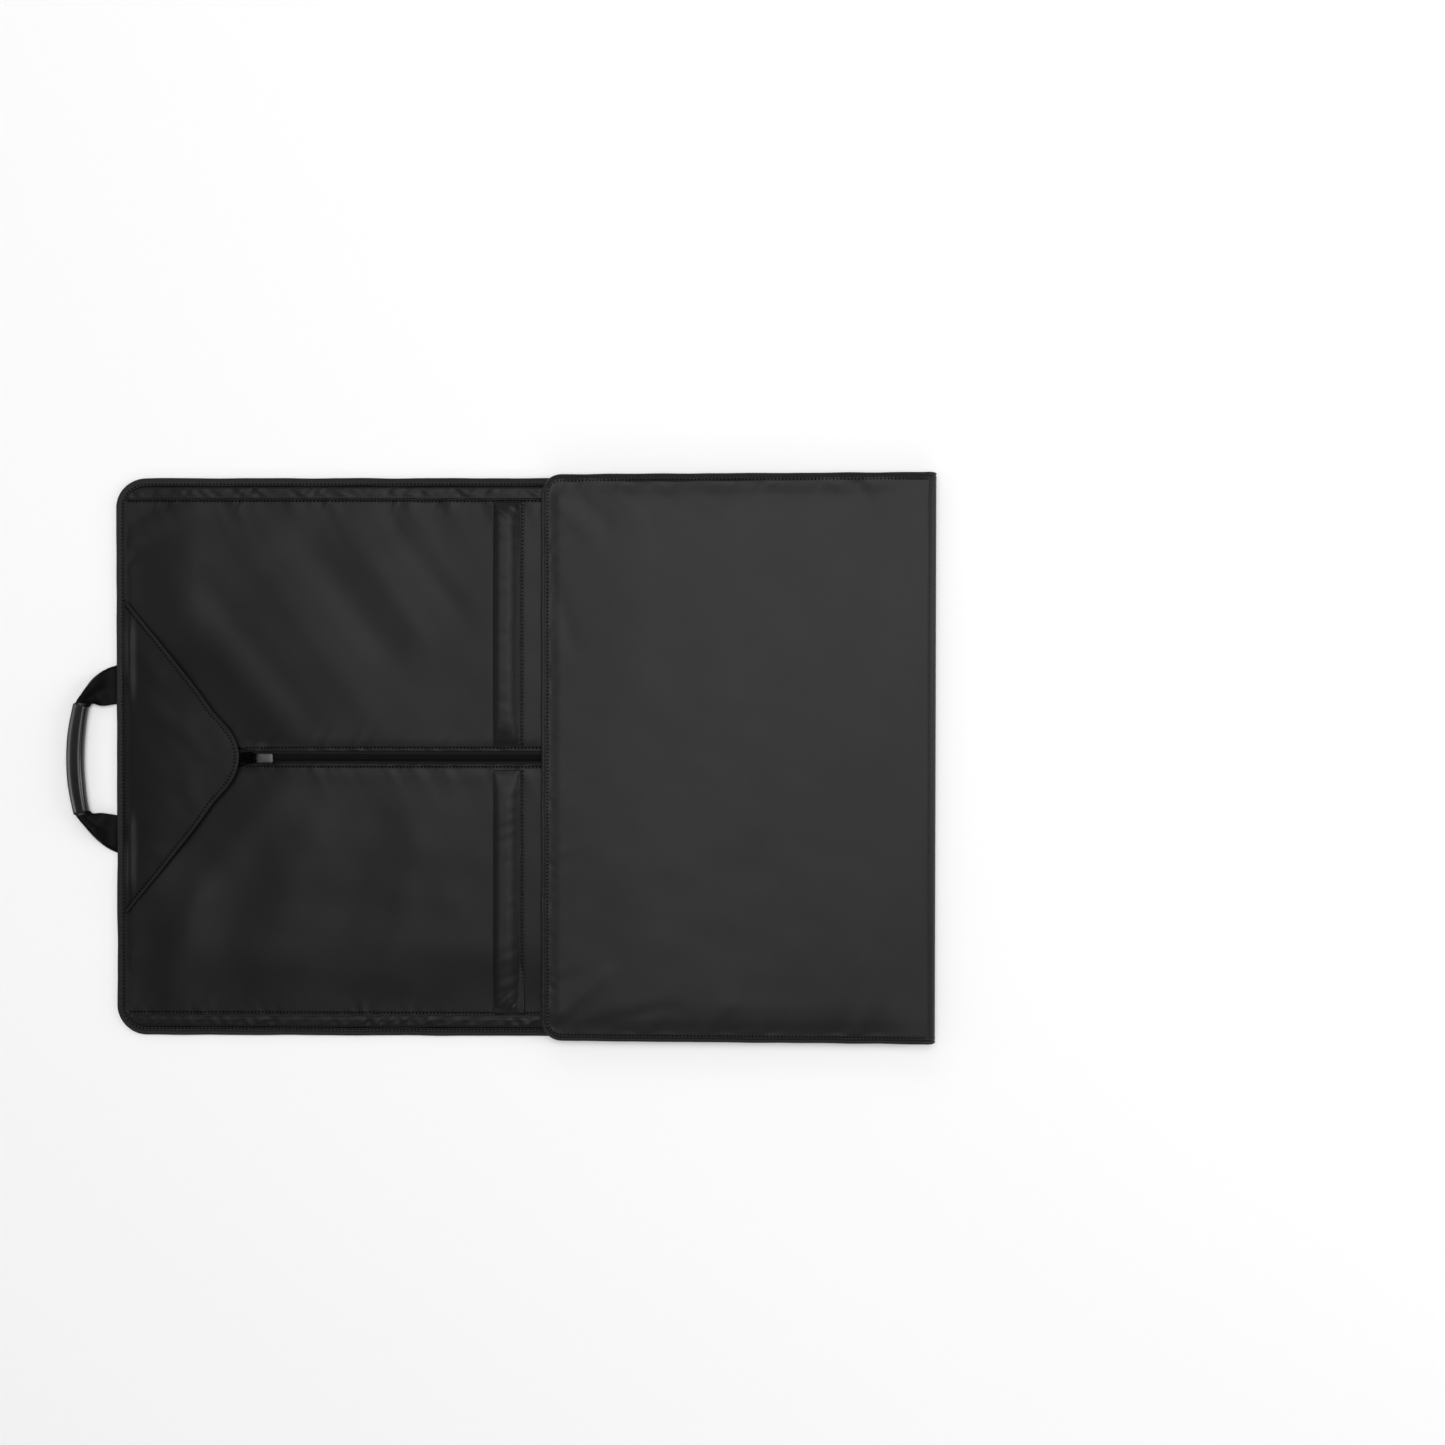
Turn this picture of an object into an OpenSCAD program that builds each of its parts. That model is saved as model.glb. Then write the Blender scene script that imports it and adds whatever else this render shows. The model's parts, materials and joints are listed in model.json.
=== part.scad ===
/* [Garment bag] */
// Length of the top section, from the handle end to the top fold
top_len = 417; // [380:1:440]
// Distance between the two folds
middle_len = 402; // [380:1:430]
// Length of the lower section, from its hem to the side fold
lower_len = 395; // [350:1:398]
// Width of the bag over its bound edges
bag_w = 558; // [480:2:620]
// Thickness of one section, lying empty
section_t = 10; // [9:0.5:12]
// Gap between the middle section and the lower section folded over it
stack_gap = 1; // [0.5:0.1:2]

/* [Fabric] */
// Thickness of the back and front panels
panel_t = 1.6; // [1:0.1:2]
// Width of the edge binding
binding_w = 8; // [6:0.5:10]
// Height of the edge binding
binding_t = 5; // [4:0.1:6]
// Corner radius at the handle end
top_corner_r = 30; // [20:1:40]
// Corner radius at the hem
hem_corner_r = 20; // [15:1:30]
// Width of the sloped gusset inside the binding
gusset_w = 13; // [10:1:18]

/* [Zip] */
// Half the gap between the two fabric edges along the zip
zip_half_gap = 6.5; // [6:0.1:8]
// Half width over both zip tapes
tape_half_w = 16; // [12:0.5:20]
// Distance from the handle end to the top stops
zip_start = 115.5; // [100:0.5:130]
// Length of the slider
slider_len = 15; // [12:0.5:18]
// Length of the pull tab past its pivot
tab_len = 20; // [15:0.5:25]
// Half width of the pull tab
tab_half_w = 5.2; // [4:0.1:5.5]

/* [Rolls] */
// Outer radius of a roll sleeve
roll_r = 8.8; // [7:0.1:8.8]
// Half width over the two seams of a roll sleeve
roll_seam_half_w = 15; // [12:0.5:18]
// Distance from the top fold to the middle of the rolls
roll_from_fold = 25; // [20:0.5:40]
// Half the gap between the rolls, where the zip passes
roll_gap = 12; // [10:0.5:16]

/* [Flap] */
// Length of the flap from its root to its tip
flap_len = 111; // [90:1:120]
// Half width of the flap at its root
flap_half_w = 157; // [120:1:170]
// Radius of the flap's tip
flap_tip_r = 40; // [15:1:50]
// Thickness of the flap with its lining
flap_t = 2; // [1.6:0.1:2.4]

/* [Handle] */
// Half length of the grip
grip_half_len = 56; // [50:1:65]
// Width of the grip
grip_w = 17; // [15:0.5:18]
// Height of the grip
grip_h = 14; // [12:0.5:14]
// Radius of the grip's curve along its middle
grip_curve_r = 235; // [180:5:300]
// Distance from the bag's edge to the outside of the grip
handle_reach = 49; // [45:1:60]
// How far the handle is off the centre line
handle_shift = -2; // [-4:1:4]

/* [Hidden] */
$fn = 48;

fabric_black = [0.07, 0.07, 0.075];
fabric_inside = [0.12, 0.12, 0.13];
trim_black = [0.04, 0.04, 0.045];
gunmetal = [0.32, 0.33, 0.35];
foam_grey = [0.45, 0.45, 0.47];

// Along X: the handle end, the top fold and the side fold. The bag is centred over its whole length.
total_len = handle_reach + top_len + middle_len + 1;
fold_outer_x = total_len / 2;
top_end_x = handle_reach - fold_outer_x;
top_fold_x = top_end_x + top_len;
side_end_x = top_fold_x + middle_len;
hem_x = fold_outer_x - lower_len - 1;
// Free play between two bodies that meet at a fold
fold_play = 0.6;
// Where the top section stops, and where the middle section and its front panel start and stop
top_stop_x = top_fold_x - fold_play / 2;
middle_start = top_fold_x + fold_play / 2;
middle_front_end = side_end_x - 10;
// The strip of back panel that stands up in the side fold
fold_t = 1.5;
fold_binding_t = 3.5;

edge_y = bag_w / 2;
binding_in_y = edge_y - binding_w;
seam_y = binding_in_y - gusset_w;
front_low_z = section_t - panel_t;
stack_z = 2 * section_t + stack_gap;
// Length over which a front panel comes down to the binding at an end
end_slope = 16;

tape_t = 1.4;
tape_low_z = front_low_z - tape_t - 0.1;
coil_t = 1.7;
coil_low_z = tape_low_z - coil_t;
slit_half_w = 0.8;
coil_half_w = 3;
zip_start_x = top_end_x + zip_start;
zip_end_x = hem_x + 28;
tape_start_x = zip_start_x - 5;
stop_t = 1;
top_stop_len = 3.5;
bottom_stop_len = 4;

roll_x = top_fold_x - roll_from_fold;
roll_end_y = edge_y - 24;
sleeve_t = 1.2;

// Inside the top edge, stacked on the back panel: anchor tabs, board, hanger strap, press stud
anchor_x = top_end_x + 10.4;
anchor_len = 40;
anchor_t = 0.8;
board_x = top_end_x + 14.5;
board_w = 28;
board_half_len = 200;
board_low_z = panel_t + anchor_t;
board_t = 1.5;
strap_x = top_end_x + 18;
strap_len = 70;
strap_half_w = 11;
strap_low_z = board_low_z + board_t;
strap_t = 1;
snap_x = top_end_x + 78;
snap_r = 6;
snap_t = 1.2;

// The opening for the hanger hooks, on the centre line under the flap
hook_start_x = top_end_x + 30;
hook_end_x = zip_start_x - 7;
hook_half_w = 10;
facing_w = 5;
facing_t = 0.8;

flap_root_x = top_end_x + 11.5;
flap_low_z = section_t + 0.9;
flap_tip_x = flap_root_x + flap_len;
piping_w = 2.4;
magnet_x = top_end_x + 85;
magnet_y = 32;
magnet_r = 7;

grip_mid_x = top_end_x - handle_reach + grip_w / 2;
grip_low_z = 0.2;
grip_angle = 2 * asin(grip_half_len / grip_curve_r);
web_low_z = 3.5;
web_t = 3;
web_root_x = top_end_x - 2.5;
web_root_low_y = 55;
web_root_high_y = 94;

slider_x = flap_tip_x + 2;
slider_half_w = 5.8;
pivot_x = slider_x + slider_len - 3;
pivot_z = section_t + 2.2;

// A rectangle from x0 to x1 and across the bag to half_y, with corners of radius r at its x0 end
module round_end(x0, x1, half_y, r) {
    union() {
        translate([x0 + r, -half_y]) square([x1 - x0 - r, 2 * half_y]);
        translate([x0, r - half_y]) square([r + 1, 2 * (half_y - r)]);
        for (side = [-1, 1]) translate([x0 + r, side * (half_y - r)]) circle(r);
    }
}

// A section's outline, reduced by inset on its three bound sides
module outline(x0, x1, corner_r, inset) {
    round_end(x0 + inset, x1, edge_y - inset, corner_r - inset);
}

// Turns a section that was drawn face up so that it lies face down on the stack
module face_down() {
    translate([0, 0, stack_z]) mirror([0, 0, 1]) children();
}

// The back panel, inside its binding
module back_sheet(x0, x1, corner_r) {
    linear_extrude(panel_t) intersection() {
        outline(x0, x1 + 1, corner_r, binding_w);
        translate([x0 - 1, -edge_y]) square([x1 - x0 + 1, bag_w]);
    }
}

// The binding on both long edges, and round the end at x0
module edge_binding(x0, x1, corner_r) {
    linear_extrude(binding_t) difference() {
        outline(x0, x1, corner_r, 0);
        outline(x0, x1 + 1, corner_r, binding_w);
    }
}

// The side profile of a front panel that comes down to the binding at x0
module front_profile(x0, x1) {
    polygon([
        [x0, panel_t], [x0, 2 * panel_t], [x0 + end_slope, section_t],
        [x1, section_t], [x1, front_low_z], [x0 + end_slope + 0.6, front_low_z]
    ]);
}

// One half of a front panel, on the side given by side = 1 or -1, inside the outline of its section
module front_half(x0, x1, corner_r, side) {
    inner_y = side > 0 ? zip_half_gap : -seam_y;
    intersection() {
        translate([0, inner_y + seam_y - zip_half_gap, 0]) rotate([90, 0, 0])
            linear_extrude(seam_y - zip_half_gap) front_profile(x0 + binding_w, x1);
        linear_extrude(section_t) outline(x0, x1 + 1, corner_r, binding_w);
    }
}

// A straight stretch of the sloped strip from the binding up to the front panel's seam
module gusset_strip(x0, x1, side) {
    translate([x0, 0, 0]) rotate([90, 0, 90]) linear_extrude(x1 - x0) polygon([
        [side * binding_in_y, panel_t], [side * binding_in_y, 2 * panel_t],
        [side * seam_y, section_t], [side * seam_y, front_low_z]
    ]);
}

// The same strip, cut to the slope and the round corner at its x0 end
module gusset(x0, x1, corner_r, side) {
    intersection() {
        gusset_strip(x0, x1, side);
        translate([0, edge_y, 0]) rotate([90, 0, 0]) linear_extrude(bag_w) polygon([
            [x0 + binding_w, 0], [x0 + binding_w, 2 * panel_t],
            [x0 + binding_w + end_slope, section_t], [x1, section_t], [x1, 0]
        ]);
        linear_extrude(section_t) outline(x0, x1 + 1, corner_r, binding_w);
    }
}

// The two tapes, with a slit between them where the slider's neck runs
module tapes(x0, x1) {
    for (side = [-1, 1])
        translate([x0, side > 0 ? slit_half_w : -tape_half_w, tape_low_z])
            cube([x1 - x0, tape_half_w - slit_half_w, tape_t]);
}

// The two rows of coil, under the tapes
module coils(x0, x1) {
    for (side = [-1, 1])
        translate([x0, side > 0 ? slit_half_w : -coil_half_w, coil_low_z])
            cube([x1 - x0, coil_half_w - slit_half_w, coil_t]);
}

module top_back_panel() {
    color(fabric_inside) back_sheet(top_end_x, top_stop_x, top_corner_r);
}

// A half of the top section's front, with its share of the opening for the hanger hooks
module top_front(side) {
    color(fabric_black) union() {
        difference() {
            front_half(top_end_x, top_stop_x, top_corner_r, side);
            translate([hook_start_x, -hook_half_w, 0])
                cube([hook_end_x - hook_start_x, 2 * hook_half_w, section_t + 1]);
        }
        intersection() {
            translate([0, side > 0 ? zip_half_gap : 0, 0]) rotate([90, 0, 0])
                linear_extrude(zip_half_gap) front_profile(top_end_x + binding_w, top_stop_x);
            translate([top_end_x, -edge_y, 0]) cube([hook_start_x - top_end_x, bag_w, section_t]);
        }
    }
}

module top_front_upper() {
    top_front(1);
}

module top_front_lower() {
    top_front(-1);
}

module top_gusset_upper() {
    color(fabric_black) gusset(top_end_x, top_stop_x, top_corner_r, 1);
}

module top_gusset_lower() {
    color(fabric_black) gusset(top_end_x, top_stop_x, top_corner_r, -1);
}

module top_binding() {
    color(trim_black) edge_binding(top_end_x, top_stop_x, top_corner_r);
}

// Webbing tabs inside the bag that carry the handle's load into the board
module handle_anchors() {
    color(trim_black) for (side = [-1, 1])
        translate([
            anchor_x, handle_shift + (side > 0 ? web_root_low_y : -web_root_high_y), panel_t
        ])
            cube([anchor_len, web_root_high_y - web_root_low_y, anchor_t]);
}

// The stiffener board along the top edge, on the anchor tabs
module top_board() {
    color(foam_grey) translate([board_x, -board_half_len, board_low_z])
        cube([board_w, 2 * board_half_len, board_t]);
}

// The bound edge of the opening for the hanger hooks
module hanger_facing() {
    low = [hook_start_x - facing_w, -hook_half_w - facing_w];
    color(trim_black) translate([0, 0, section_t]) linear_extrude(facing_t) difference() {
        translate(low)
            square([hook_end_x - hook_start_x + 2 * facing_w, 2 * (hook_half_w + facing_w)]);
        translate([hook_start_x, -hook_half_w])
            square([hook_end_x - hook_start_x, 2 * hook_half_w]);
    }
}

// The strap inside that holds the hangers' hooks, sewn on top of the board
module hanger_strap() {
    color(trim_black) translate([strap_x, -strap_half_w, strap_low_z])
        cube([strap_len, 2 * strap_half_w, strap_t]);
}

// The press stud that closes the strap
module hanger_snap() {
    color(gunmetal) translate([snap_x, 0, strap_low_z + strap_t]) cylinder(h = snap_t, r = snap_r);
}

module top_zip_tapes() {
    color(trim_black) tapes(tape_start_x, top_stop_x);
}

module top_zip_coil() {
    color(trim_black) coils(tape_start_x, top_stop_x);
}

module zip_top_stops() {
    color(gunmetal) for (side = [-1, 1])
        translate([zip_start_x - 3, side > 0 ? slit_half_w : -coil_half_w, tape_low_z + tape_t])
            cube([top_stop_len, coil_half_w - slit_half_w, stop_t]);
}

// The half-round section of a roll of radius r, standing on the front panel
module half_round(r) {
    intersection() {
        circle(r);
        translate([-r, 0]) square([2 * r, r]);
    }
}

module roll_sleeve(side) {
    color(fabric_black) translate([roll_x, side > 0 ? roll_end_y : -roll_gap, section_t])
        rotate([90, 0, 0]) linear_extrude(roll_end_y - roll_gap) difference() {
            union() {
                half_round(roll_r);
                translate([-roll_seam_half_w, 0]) square([2 * roll_seam_half_w, 0.8]);
            }
            half_round(roll_r - sleeve_t);
        }
}

module roll_core(side) {
    color(foam_grey) translate([roll_x, side > 0 ? roll_end_y - 4 : -roll_gap - 4, section_t])
        rotate([90, 0, 0]) linear_extrude(roll_end_y - roll_gap - 8)
            half_round(roll_r - sleeve_t - 0.1);
}

module roll_sleeve_upper() {
    roll_sleeve(1);
}

module roll_sleeve_lower() {
    roll_sleeve(-1);
}

module roll_core_upper() {
    roll_core(1);
}

module roll_core_lower() {
    roll_core(-1);
}

// The magnets on the body that hold the flap shut
module body_magnets() {
    color(gunmetal) for (side = [-1, 1])
        translate([magnet_x, side * magnet_y, section_t]) cylinder(h = 0.6, r = magnet_r);
}

// A straight stretch of front panel, on the side given by side = 1 or -1
module straight_front(x0, x1, side) {
    translate([x0, side > 0 ? zip_half_gap : -seam_y, front_low_z])
        cube([x1 - x0, seam_y - zip_half_gap, panel_t]);
}

module middle_back_panel() {
    color(fabric_inside) translate([middle_start, -binding_in_y, 0])
        cube([side_end_x - middle_start, 2 * binding_in_y, panel_t]);
}

module middle_front_upper() {
    color(fabric_black) straight_front(middle_start, middle_front_end, 1);
}

module middle_front_lower() {
    color(fabric_black) straight_front(middle_start, middle_front_end, -1);
}

module middle_gusset_upper() {
    color(fabric_black) gusset_strip(middle_start, middle_front_end, 1);
}

module middle_gusset_lower() {
    color(fabric_black) gusset_strip(middle_start, middle_front_end, -1);
}

module middle_binding() {
    color(trim_black) for (side = [-1, 1])
        translate([middle_start, side > 0 ? binding_in_y : -edge_y, 0])
            cube([middle_front_end - middle_start, binding_w, binding_t]);
}

module middle_zip_tapes() {
    color(trim_black) tapes(middle_start, middle_front_end);
}

module middle_zip_coil() {
    color(trim_black) coils(middle_start, middle_front_end);
}

// The strip of back panel that turns up round the side fold
module fold_panel() {
    color(fabric_black)
        translate([fold_outer_x - fold_t, -binding_in_y, panel_t])
            cube([fold_t, 2 * binding_in_y, stack_z - 2 * panel_t]);
}

// The binding at both ends of the side fold
module fold_binding() {
    color(trim_black) for (side = [-1, 1])
        translate([fold_outer_x - fold_binding_t, side > 0 ? binding_in_y : -edge_y, panel_t])
            cube([fold_binding_t, binding_w, stack_z - 2 * panel_t]);
}

module lower_back_panel() {
    color(fabric_black) face_down() back_sheet(hem_x, side_end_x, hem_corner_r);
}

module lower_front_upper() {
    color(fabric_black) face_down() front_half(hem_x, middle_front_end, hem_corner_r, 1);
}

module lower_front_lower() {
    color(fabric_black) face_down() front_half(hem_x, middle_front_end, hem_corner_r, -1);
}

module lower_gusset_upper() {
    color(fabric_black) face_down() gusset(hem_x, middle_front_end, hem_corner_r, 1);
}

module lower_gusset_lower() {
    color(fabric_black) face_down() gusset(hem_x, middle_front_end, hem_corner_r, -1);
}

module lower_binding() {
    color(trim_black) face_down() edge_binding(hem_x, middle_front_end, hem_corner_r);
}

module lower_zip_tapes() {
    color(trim_black) face_down() tapes(zip_end_x, middle_front_end);
}

module lower_zip_coil() {
    color(trim_black) face_down() coils(zip_end_x, middle_front_end);
}

module zip_bottom_stop() {
    color(gunmetal) face_down()
        translate([zip_end_x + 1, -coil_half_w, tape_low_z + tape_t])
            cube([bottom_stop_len, 2 * coil_half_w, stop_t]);
}

// The flap's outline, with a round tip, reduced by inset along its free edges
module flap_outline(inset) {
    tip_r = flap_tip_r - inset;
    tip_x = flap_tip_x - flap_tip_r;
    // Each free edge runs from the end of the root and meets the tip's circle at a tangent
    reach = sqrt(pow(tip_x - flap_root_x, 2) + pow(flap_half_w, 2));
    edge_angle = 180 - atan2(flap_half_w, tip_x - flap_root_x) - acos(flap_tip_r / reach);
    touch = [cos(edge_angle), sin(edge_angle)];
    root_y = flap_half_w - inset / touch[1];
    union() {
        translate([tip_x, 0]) circle(tip_r);
        polygon([
            [flap_root_x, -root_y], [tip_x + tip_r * touch[0], -tip_r * touch[1]],
            [tip_x + tip_r * touch[0], tip_r * touch[1]], [flap_root_x, root_y]
        ]);
    }
}

module flap_outer() {
    color(fabric_black) translate([0, 0, flap_low_z + flap_t / 2])
        linear_extrude(flap_t / 2) flap_outline(piping_w);
}

module flap_lining() {
    color(fabric_inside) translate([0, 0, flap_low_z]) linear_extrude(flap_t / 2) difference() {
        flap_outline(piping_w);
        for (side = [-1, 1]) translate([magnet_x, side * magnet_y]) circle(magnet_r);
    }
}

module flap_piping() {
    color(trim_black) translate([0, 0, flap_low_z]) linear_extrude(flap_t) difference() {
        flap_outline(0);
        flap_outline(piping_w);
    }
}

module flap_magnets() {
    color(gunmetal) for (side = [-1, 1])
        translate([magnet_x, side * magnet_y, flap_low_z]) cylinder(h = flap_t / 2, r = magnet_r - 0.1);
}

// The grip's arc, for a profile drawn round its own middle
module grip_arc() {
    translate([grip_mid_x + grip_curve_r, handle_shift, grip_low_z + grip_h / 2])
        rotate([0, 0, 180 - grip_angle / 2])
            rotate_extrude(angle = grip_angle, $fn = 180) translate([grip_curve_r, 0]) children();
}

// A round profile of width w, flattened to height h
module flat_round(w, h) {
    intersection() {
        circle(w / 2);
        square([w, h], center = true);
    }
}

module grip_cover() {
    color(trim_black) grip_arc() difference() {
        flat_round(grip_w, grip_h);
        circle(grip_h / 2 - 2);
    }
}

module grip_core() {
    color(foam_grey) grip_arc() circle(grip_h / 2 - 2.1);
}

// A point on the grip's end face, off its middle line by off
function grip_end(off) = [
    grip_mid_x + grip_curve_r - (grip_curve_r + off) * cos(grip_angle / 2),
    (grip_curve_r + off) * sin(grip_angle / 2) + 0.2
];

// The webbing from one end of the grip to the bag's edge
module handle_web(side) {
    outer = grip_end(grip_w / 2 - 1);
    inner = grip_end(1 - grip_w / 2);
    // Where the outer edge turns toward the bag, and where both edges start to spread at the root
    shoulder = [outer[0] + 17, outer[1] + 23];
    spread_x = web_root_x - 13;
    color(trim_black) translate([0, handle_shift, web_low_z]) on_side(side)
        linear_extrude(web_t) polygon([
            outer,
            shoulder,
            [spread_x, web_root_high_y - 7],
            [web_root_x, web_root_high_y],
            [web_root_x, web_root_low_y],
            [spread_x, web_root_low_y - 1],
            inner
        ]);
}

// Leaves a shape as it is for side = 1, and mirrors it across the centre line for -1
module on_side(side) {
    if (side > 0) children();
    else mirror([0, 1, 0]) children();
}

module handle_web_upper() {
    handle_web(1);
}

module handle_web_lower() {
    handle_web(-1);
}

// Top plate, neck through the slit, lower plate under the coil, and a lug bored for the pull tab
module slider_body() {
    play = 0.3;
    plate_low_z = front_low_z + play;
    neck_half_w = slit_half_w - play;
    neck_low_z = coil_low_z - 0.5;
    lower_half_w = slider_half_w - 1;
    lug_r = 2.4;
    lug_half_w = 2;
    color(trim_black) difference() {
        union() {
            translate([slider_x, -slider_half_w, plate_low_z])
                cube([slider_len, 2 * slider_half_w, section_t + play - plate_low_z]);
            translate([slider_x + 3, -neck_half_w, neck_low_z])
                cube([5, 2 * neck_half_w, plate_low_z - neck_low_z + 0.1]);
            translate([slider_x, -lower_half_w, neck_low_z - 1])
                cube([slider_len, 2 * lower_half_w, 1.2]);
            translate([pivot_x, 0, pivot_z]) rotate([90, 0, 0])
                cylinder(h = 2 * lug_half_w, r = lug_r, center = true);
            translate([pivot_x - lug_r, -lug_half_w, plate_low_z])
                cube([2 * lug_r, 2 * lug_half_w, pivot_z - plate_low_z]);
        }
        translate([pivot_x, 0, pivot_z]) rotate([90, 0, 0]) cylinder(h = 6, r = 1.1, center = true);
    }
}

// A pin through the lug, two arms beside it and the tab
module pull_tab() {
    pin_r = 0.8;
    tab_t = 1.6;
    arm_in_y = 2.4;
    tab_start = 4;
    color(gunmetal) translate([pivot_x, 0, pivot_z]) union() {
        rotate([90, 0, 0]) cylinder(h = 2 * tab_half_w, r = pin_r, center = true);
        for (side = [-1, 1])
            translate([-tab_t / 2, side > 0 ? arm_in_y : -tab_half_w, -tab_t / 2])
                cube([tab_start + tab_t, tab_half_w - arm_in_y, tab_t]);
        translate([tab_start, -tab_half_w, -tab_t / 2])
            cube([tab_len - tab_start, 2 * tab_half_w, tab_t]);
    }
}

top_back_panel();
top_front_upper();
top_front_lower();
top_gusset_upper();
top_gusset_lower();
top_binding();
top_board();
handle_anchors();
hanger_facing();
hanger_strap();
hanger_snap();
top_zip_tapes();
top_zip_coil();
zip_top_stops();
roll_sleeve_upper();
roll_sleeve_lower();
roll_core_upper();
roll_core_lower();
body_magnets();
middle_back_panel();
middle_front_upper();
middle_front_lower();
middle_gusset_upper();
middle_gusset_lower();
middle_binding();
middle_zip_tapes();
middle_zip_coil();
fold_panel();
fold_binding();
lower_back_panel();
lower_front_upper();
lower_front_lower();
lower_gusset_upper();
lower_gusset_lower();
lower_binding();
lower_zip_tapes();
lower_zip_coil();
zip_bottom_stop();
flap_outer();
flap_lining();
flap_piping();
flap_magnets();
grip_cover();
grip_core();
handle_web_upper();
handle_web_lower();
slider_body();
pull_tab();
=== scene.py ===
import json
import math

import bpy
import numpy as np
from mathutils import Euler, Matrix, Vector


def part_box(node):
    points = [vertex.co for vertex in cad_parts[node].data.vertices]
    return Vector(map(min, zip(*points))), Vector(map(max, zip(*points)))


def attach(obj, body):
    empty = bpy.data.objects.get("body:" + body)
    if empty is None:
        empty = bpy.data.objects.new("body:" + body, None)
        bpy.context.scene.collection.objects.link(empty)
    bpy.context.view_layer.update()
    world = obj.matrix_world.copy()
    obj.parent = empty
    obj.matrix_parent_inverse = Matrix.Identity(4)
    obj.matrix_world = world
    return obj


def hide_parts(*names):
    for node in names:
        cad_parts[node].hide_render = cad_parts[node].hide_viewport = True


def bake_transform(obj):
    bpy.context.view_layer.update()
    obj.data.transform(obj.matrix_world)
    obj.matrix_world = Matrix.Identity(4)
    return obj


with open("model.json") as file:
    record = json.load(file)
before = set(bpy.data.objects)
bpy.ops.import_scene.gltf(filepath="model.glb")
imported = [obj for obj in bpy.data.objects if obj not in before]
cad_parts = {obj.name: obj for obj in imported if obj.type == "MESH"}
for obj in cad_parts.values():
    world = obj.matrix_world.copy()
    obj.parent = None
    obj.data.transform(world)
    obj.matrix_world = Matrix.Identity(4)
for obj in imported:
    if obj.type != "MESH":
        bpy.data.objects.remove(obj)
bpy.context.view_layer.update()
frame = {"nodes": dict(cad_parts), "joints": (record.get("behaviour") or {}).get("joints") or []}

# Lengths in this script are in millimetres, in the frame's axes. make_mesh turns them into metres.
MM = 0.001


def box_mm(node):
    low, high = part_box(node)
    return np.array(low) / MM, np.array(high) / MM


joints = {joint["name"]: joint for joint in frame["joints"]}


def hinge_xz(name):
    place = joints[name]["pos_m"]
    return place[0] / MM, place[2] / MM


# ---------------------------------------------------------------- places, taken from the frame
END_X, EDGE_Y = box_mm("top_binding")[0][0], box_mm("top_binding")[1][1]
# The hem and the rolls lie a little nearer to the fold than the CAD pieces that they stand for
HEM_SHIFT = 3.5
ROLL_SHIFT = 3.0
HEM_X = box_mm("lower_binding")[0][0] + HEM_SHIFT
STACK_Z = box_mm("lower_back_panel")[1][2]
FOLD_X = box_mm("fold_panel")[1][0]
SEAM_Y = box_mm("top_front_upper")[1][1]
TOP_FOLD_X = hinge_xz("top_fold")[0]
ZIP_START_X = box_mm("top_zip_tapes")[0][0]
ROLL_LOW_X, ROLL_HIGH_X = (corner[0] + ROLL_SHIFT for corner in box_mm("roll_sleeve_upper"))
FLAP_X = box_mm("flap_piping")[0][0] - 3.5
OPENING_LOW_X, OPENING_HIGH_X = (corner[0] for corner in box_mm("hanger_facing"))
SLIDER_LOW, SLIDER_HIGH = box_mm("slider_body")
TAB_END_X = box_mm("pull_tab")[1][0]
PIVOT_X, PIVOT_Z = hinge_xz("puller_hinge")

BINDING_W = 8.0
BINDING_T = 4.2
BACK_INSET = 3.5
BACK_T = 0.9
FRONT_T = 0.8
GUSSET_T = 0.7
FRONT_Z = 9.6
FOLD_R = STACK_Z / 2
FOLD_CENTRE_X = FOLD_X - FOLD_R
FLAT_END_X = FOLD_CENTRE_X - 6
ZIP_HALF_GAP = 6.5
ZIP_STITCH_Y = 9.6
SEAM_STITCH_Y = SEAM_Y - 2.4
STITCH_PITCH = 3.6
SLOT_LOW_X, SLOT_HIGH_X, SLOT_R = OPENING_LOW_X + 5, OPENING_HIGH_X - 5, 10.0
TOP_CORNER_R = 30.0
HEM_CORNER_R = 20.0

# One entry for each joint that the cloth turns over: the two bodies, and the points between which it turns.
# The script only uses them to tell the folded-over section from the others.
TOP_BEND = ("top_section", "middle_section", (TOP_FOLD_X - 6.5, 0, 0), (TOP_FOLD_X + 8, 0, 0))
INNER_X = FOLD_X - 9.0
INNER_END_X = INNER_X + 5.5
FRONT_BEND_A = ("middle_section", "side_fold", (FLAT_END_X + 1, 0, 0), (INNER_END_X, 0, 0))
FRONT_BEND_B = ("side_fold", "lower_section", (INNER_END_X, 0, 0), (FLAT_END_X + 1, 0, 0))


# ---------------------------------------------------------------- camera, lights and floor
def make_camera():
    data = bpy.data.cameras.new("camera")
    data.sensor_width = 36.0
    data.lens = 46.1
    camera = bpy.data.objects.new("camera", data)
    camera.location = (0.2428, 0.0594, 1.8518)
    camera.rotation_euler = Euler([math.radians(a) for a in (-0.743, 0.642, 0.073)], "XYZ")
    bpy.context.scene.collection.objects.link(camera)
    bpy.context.scene.camera = camera


def area_light(name, place, target, size, power):
    data = bpy.data.lights.new(name, "AREA")
    data.shape = "RECTANGLE"
    data.size, data.size_y = size
    data.energy = power
    lamp = bpy.data.objects.new(name, data)
    lamp.location = place
    aim = np.array(target) - np.array(place)
    lamp.rotation_euler = (
        math.atan2(math.hypot(aim[0], aim[1]), -aim[2]), 0, math.atan2(aim[0], -aim[1]) + math.pi
    )
    bpy.context.scene.collection.objects.link(lamp)


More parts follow.
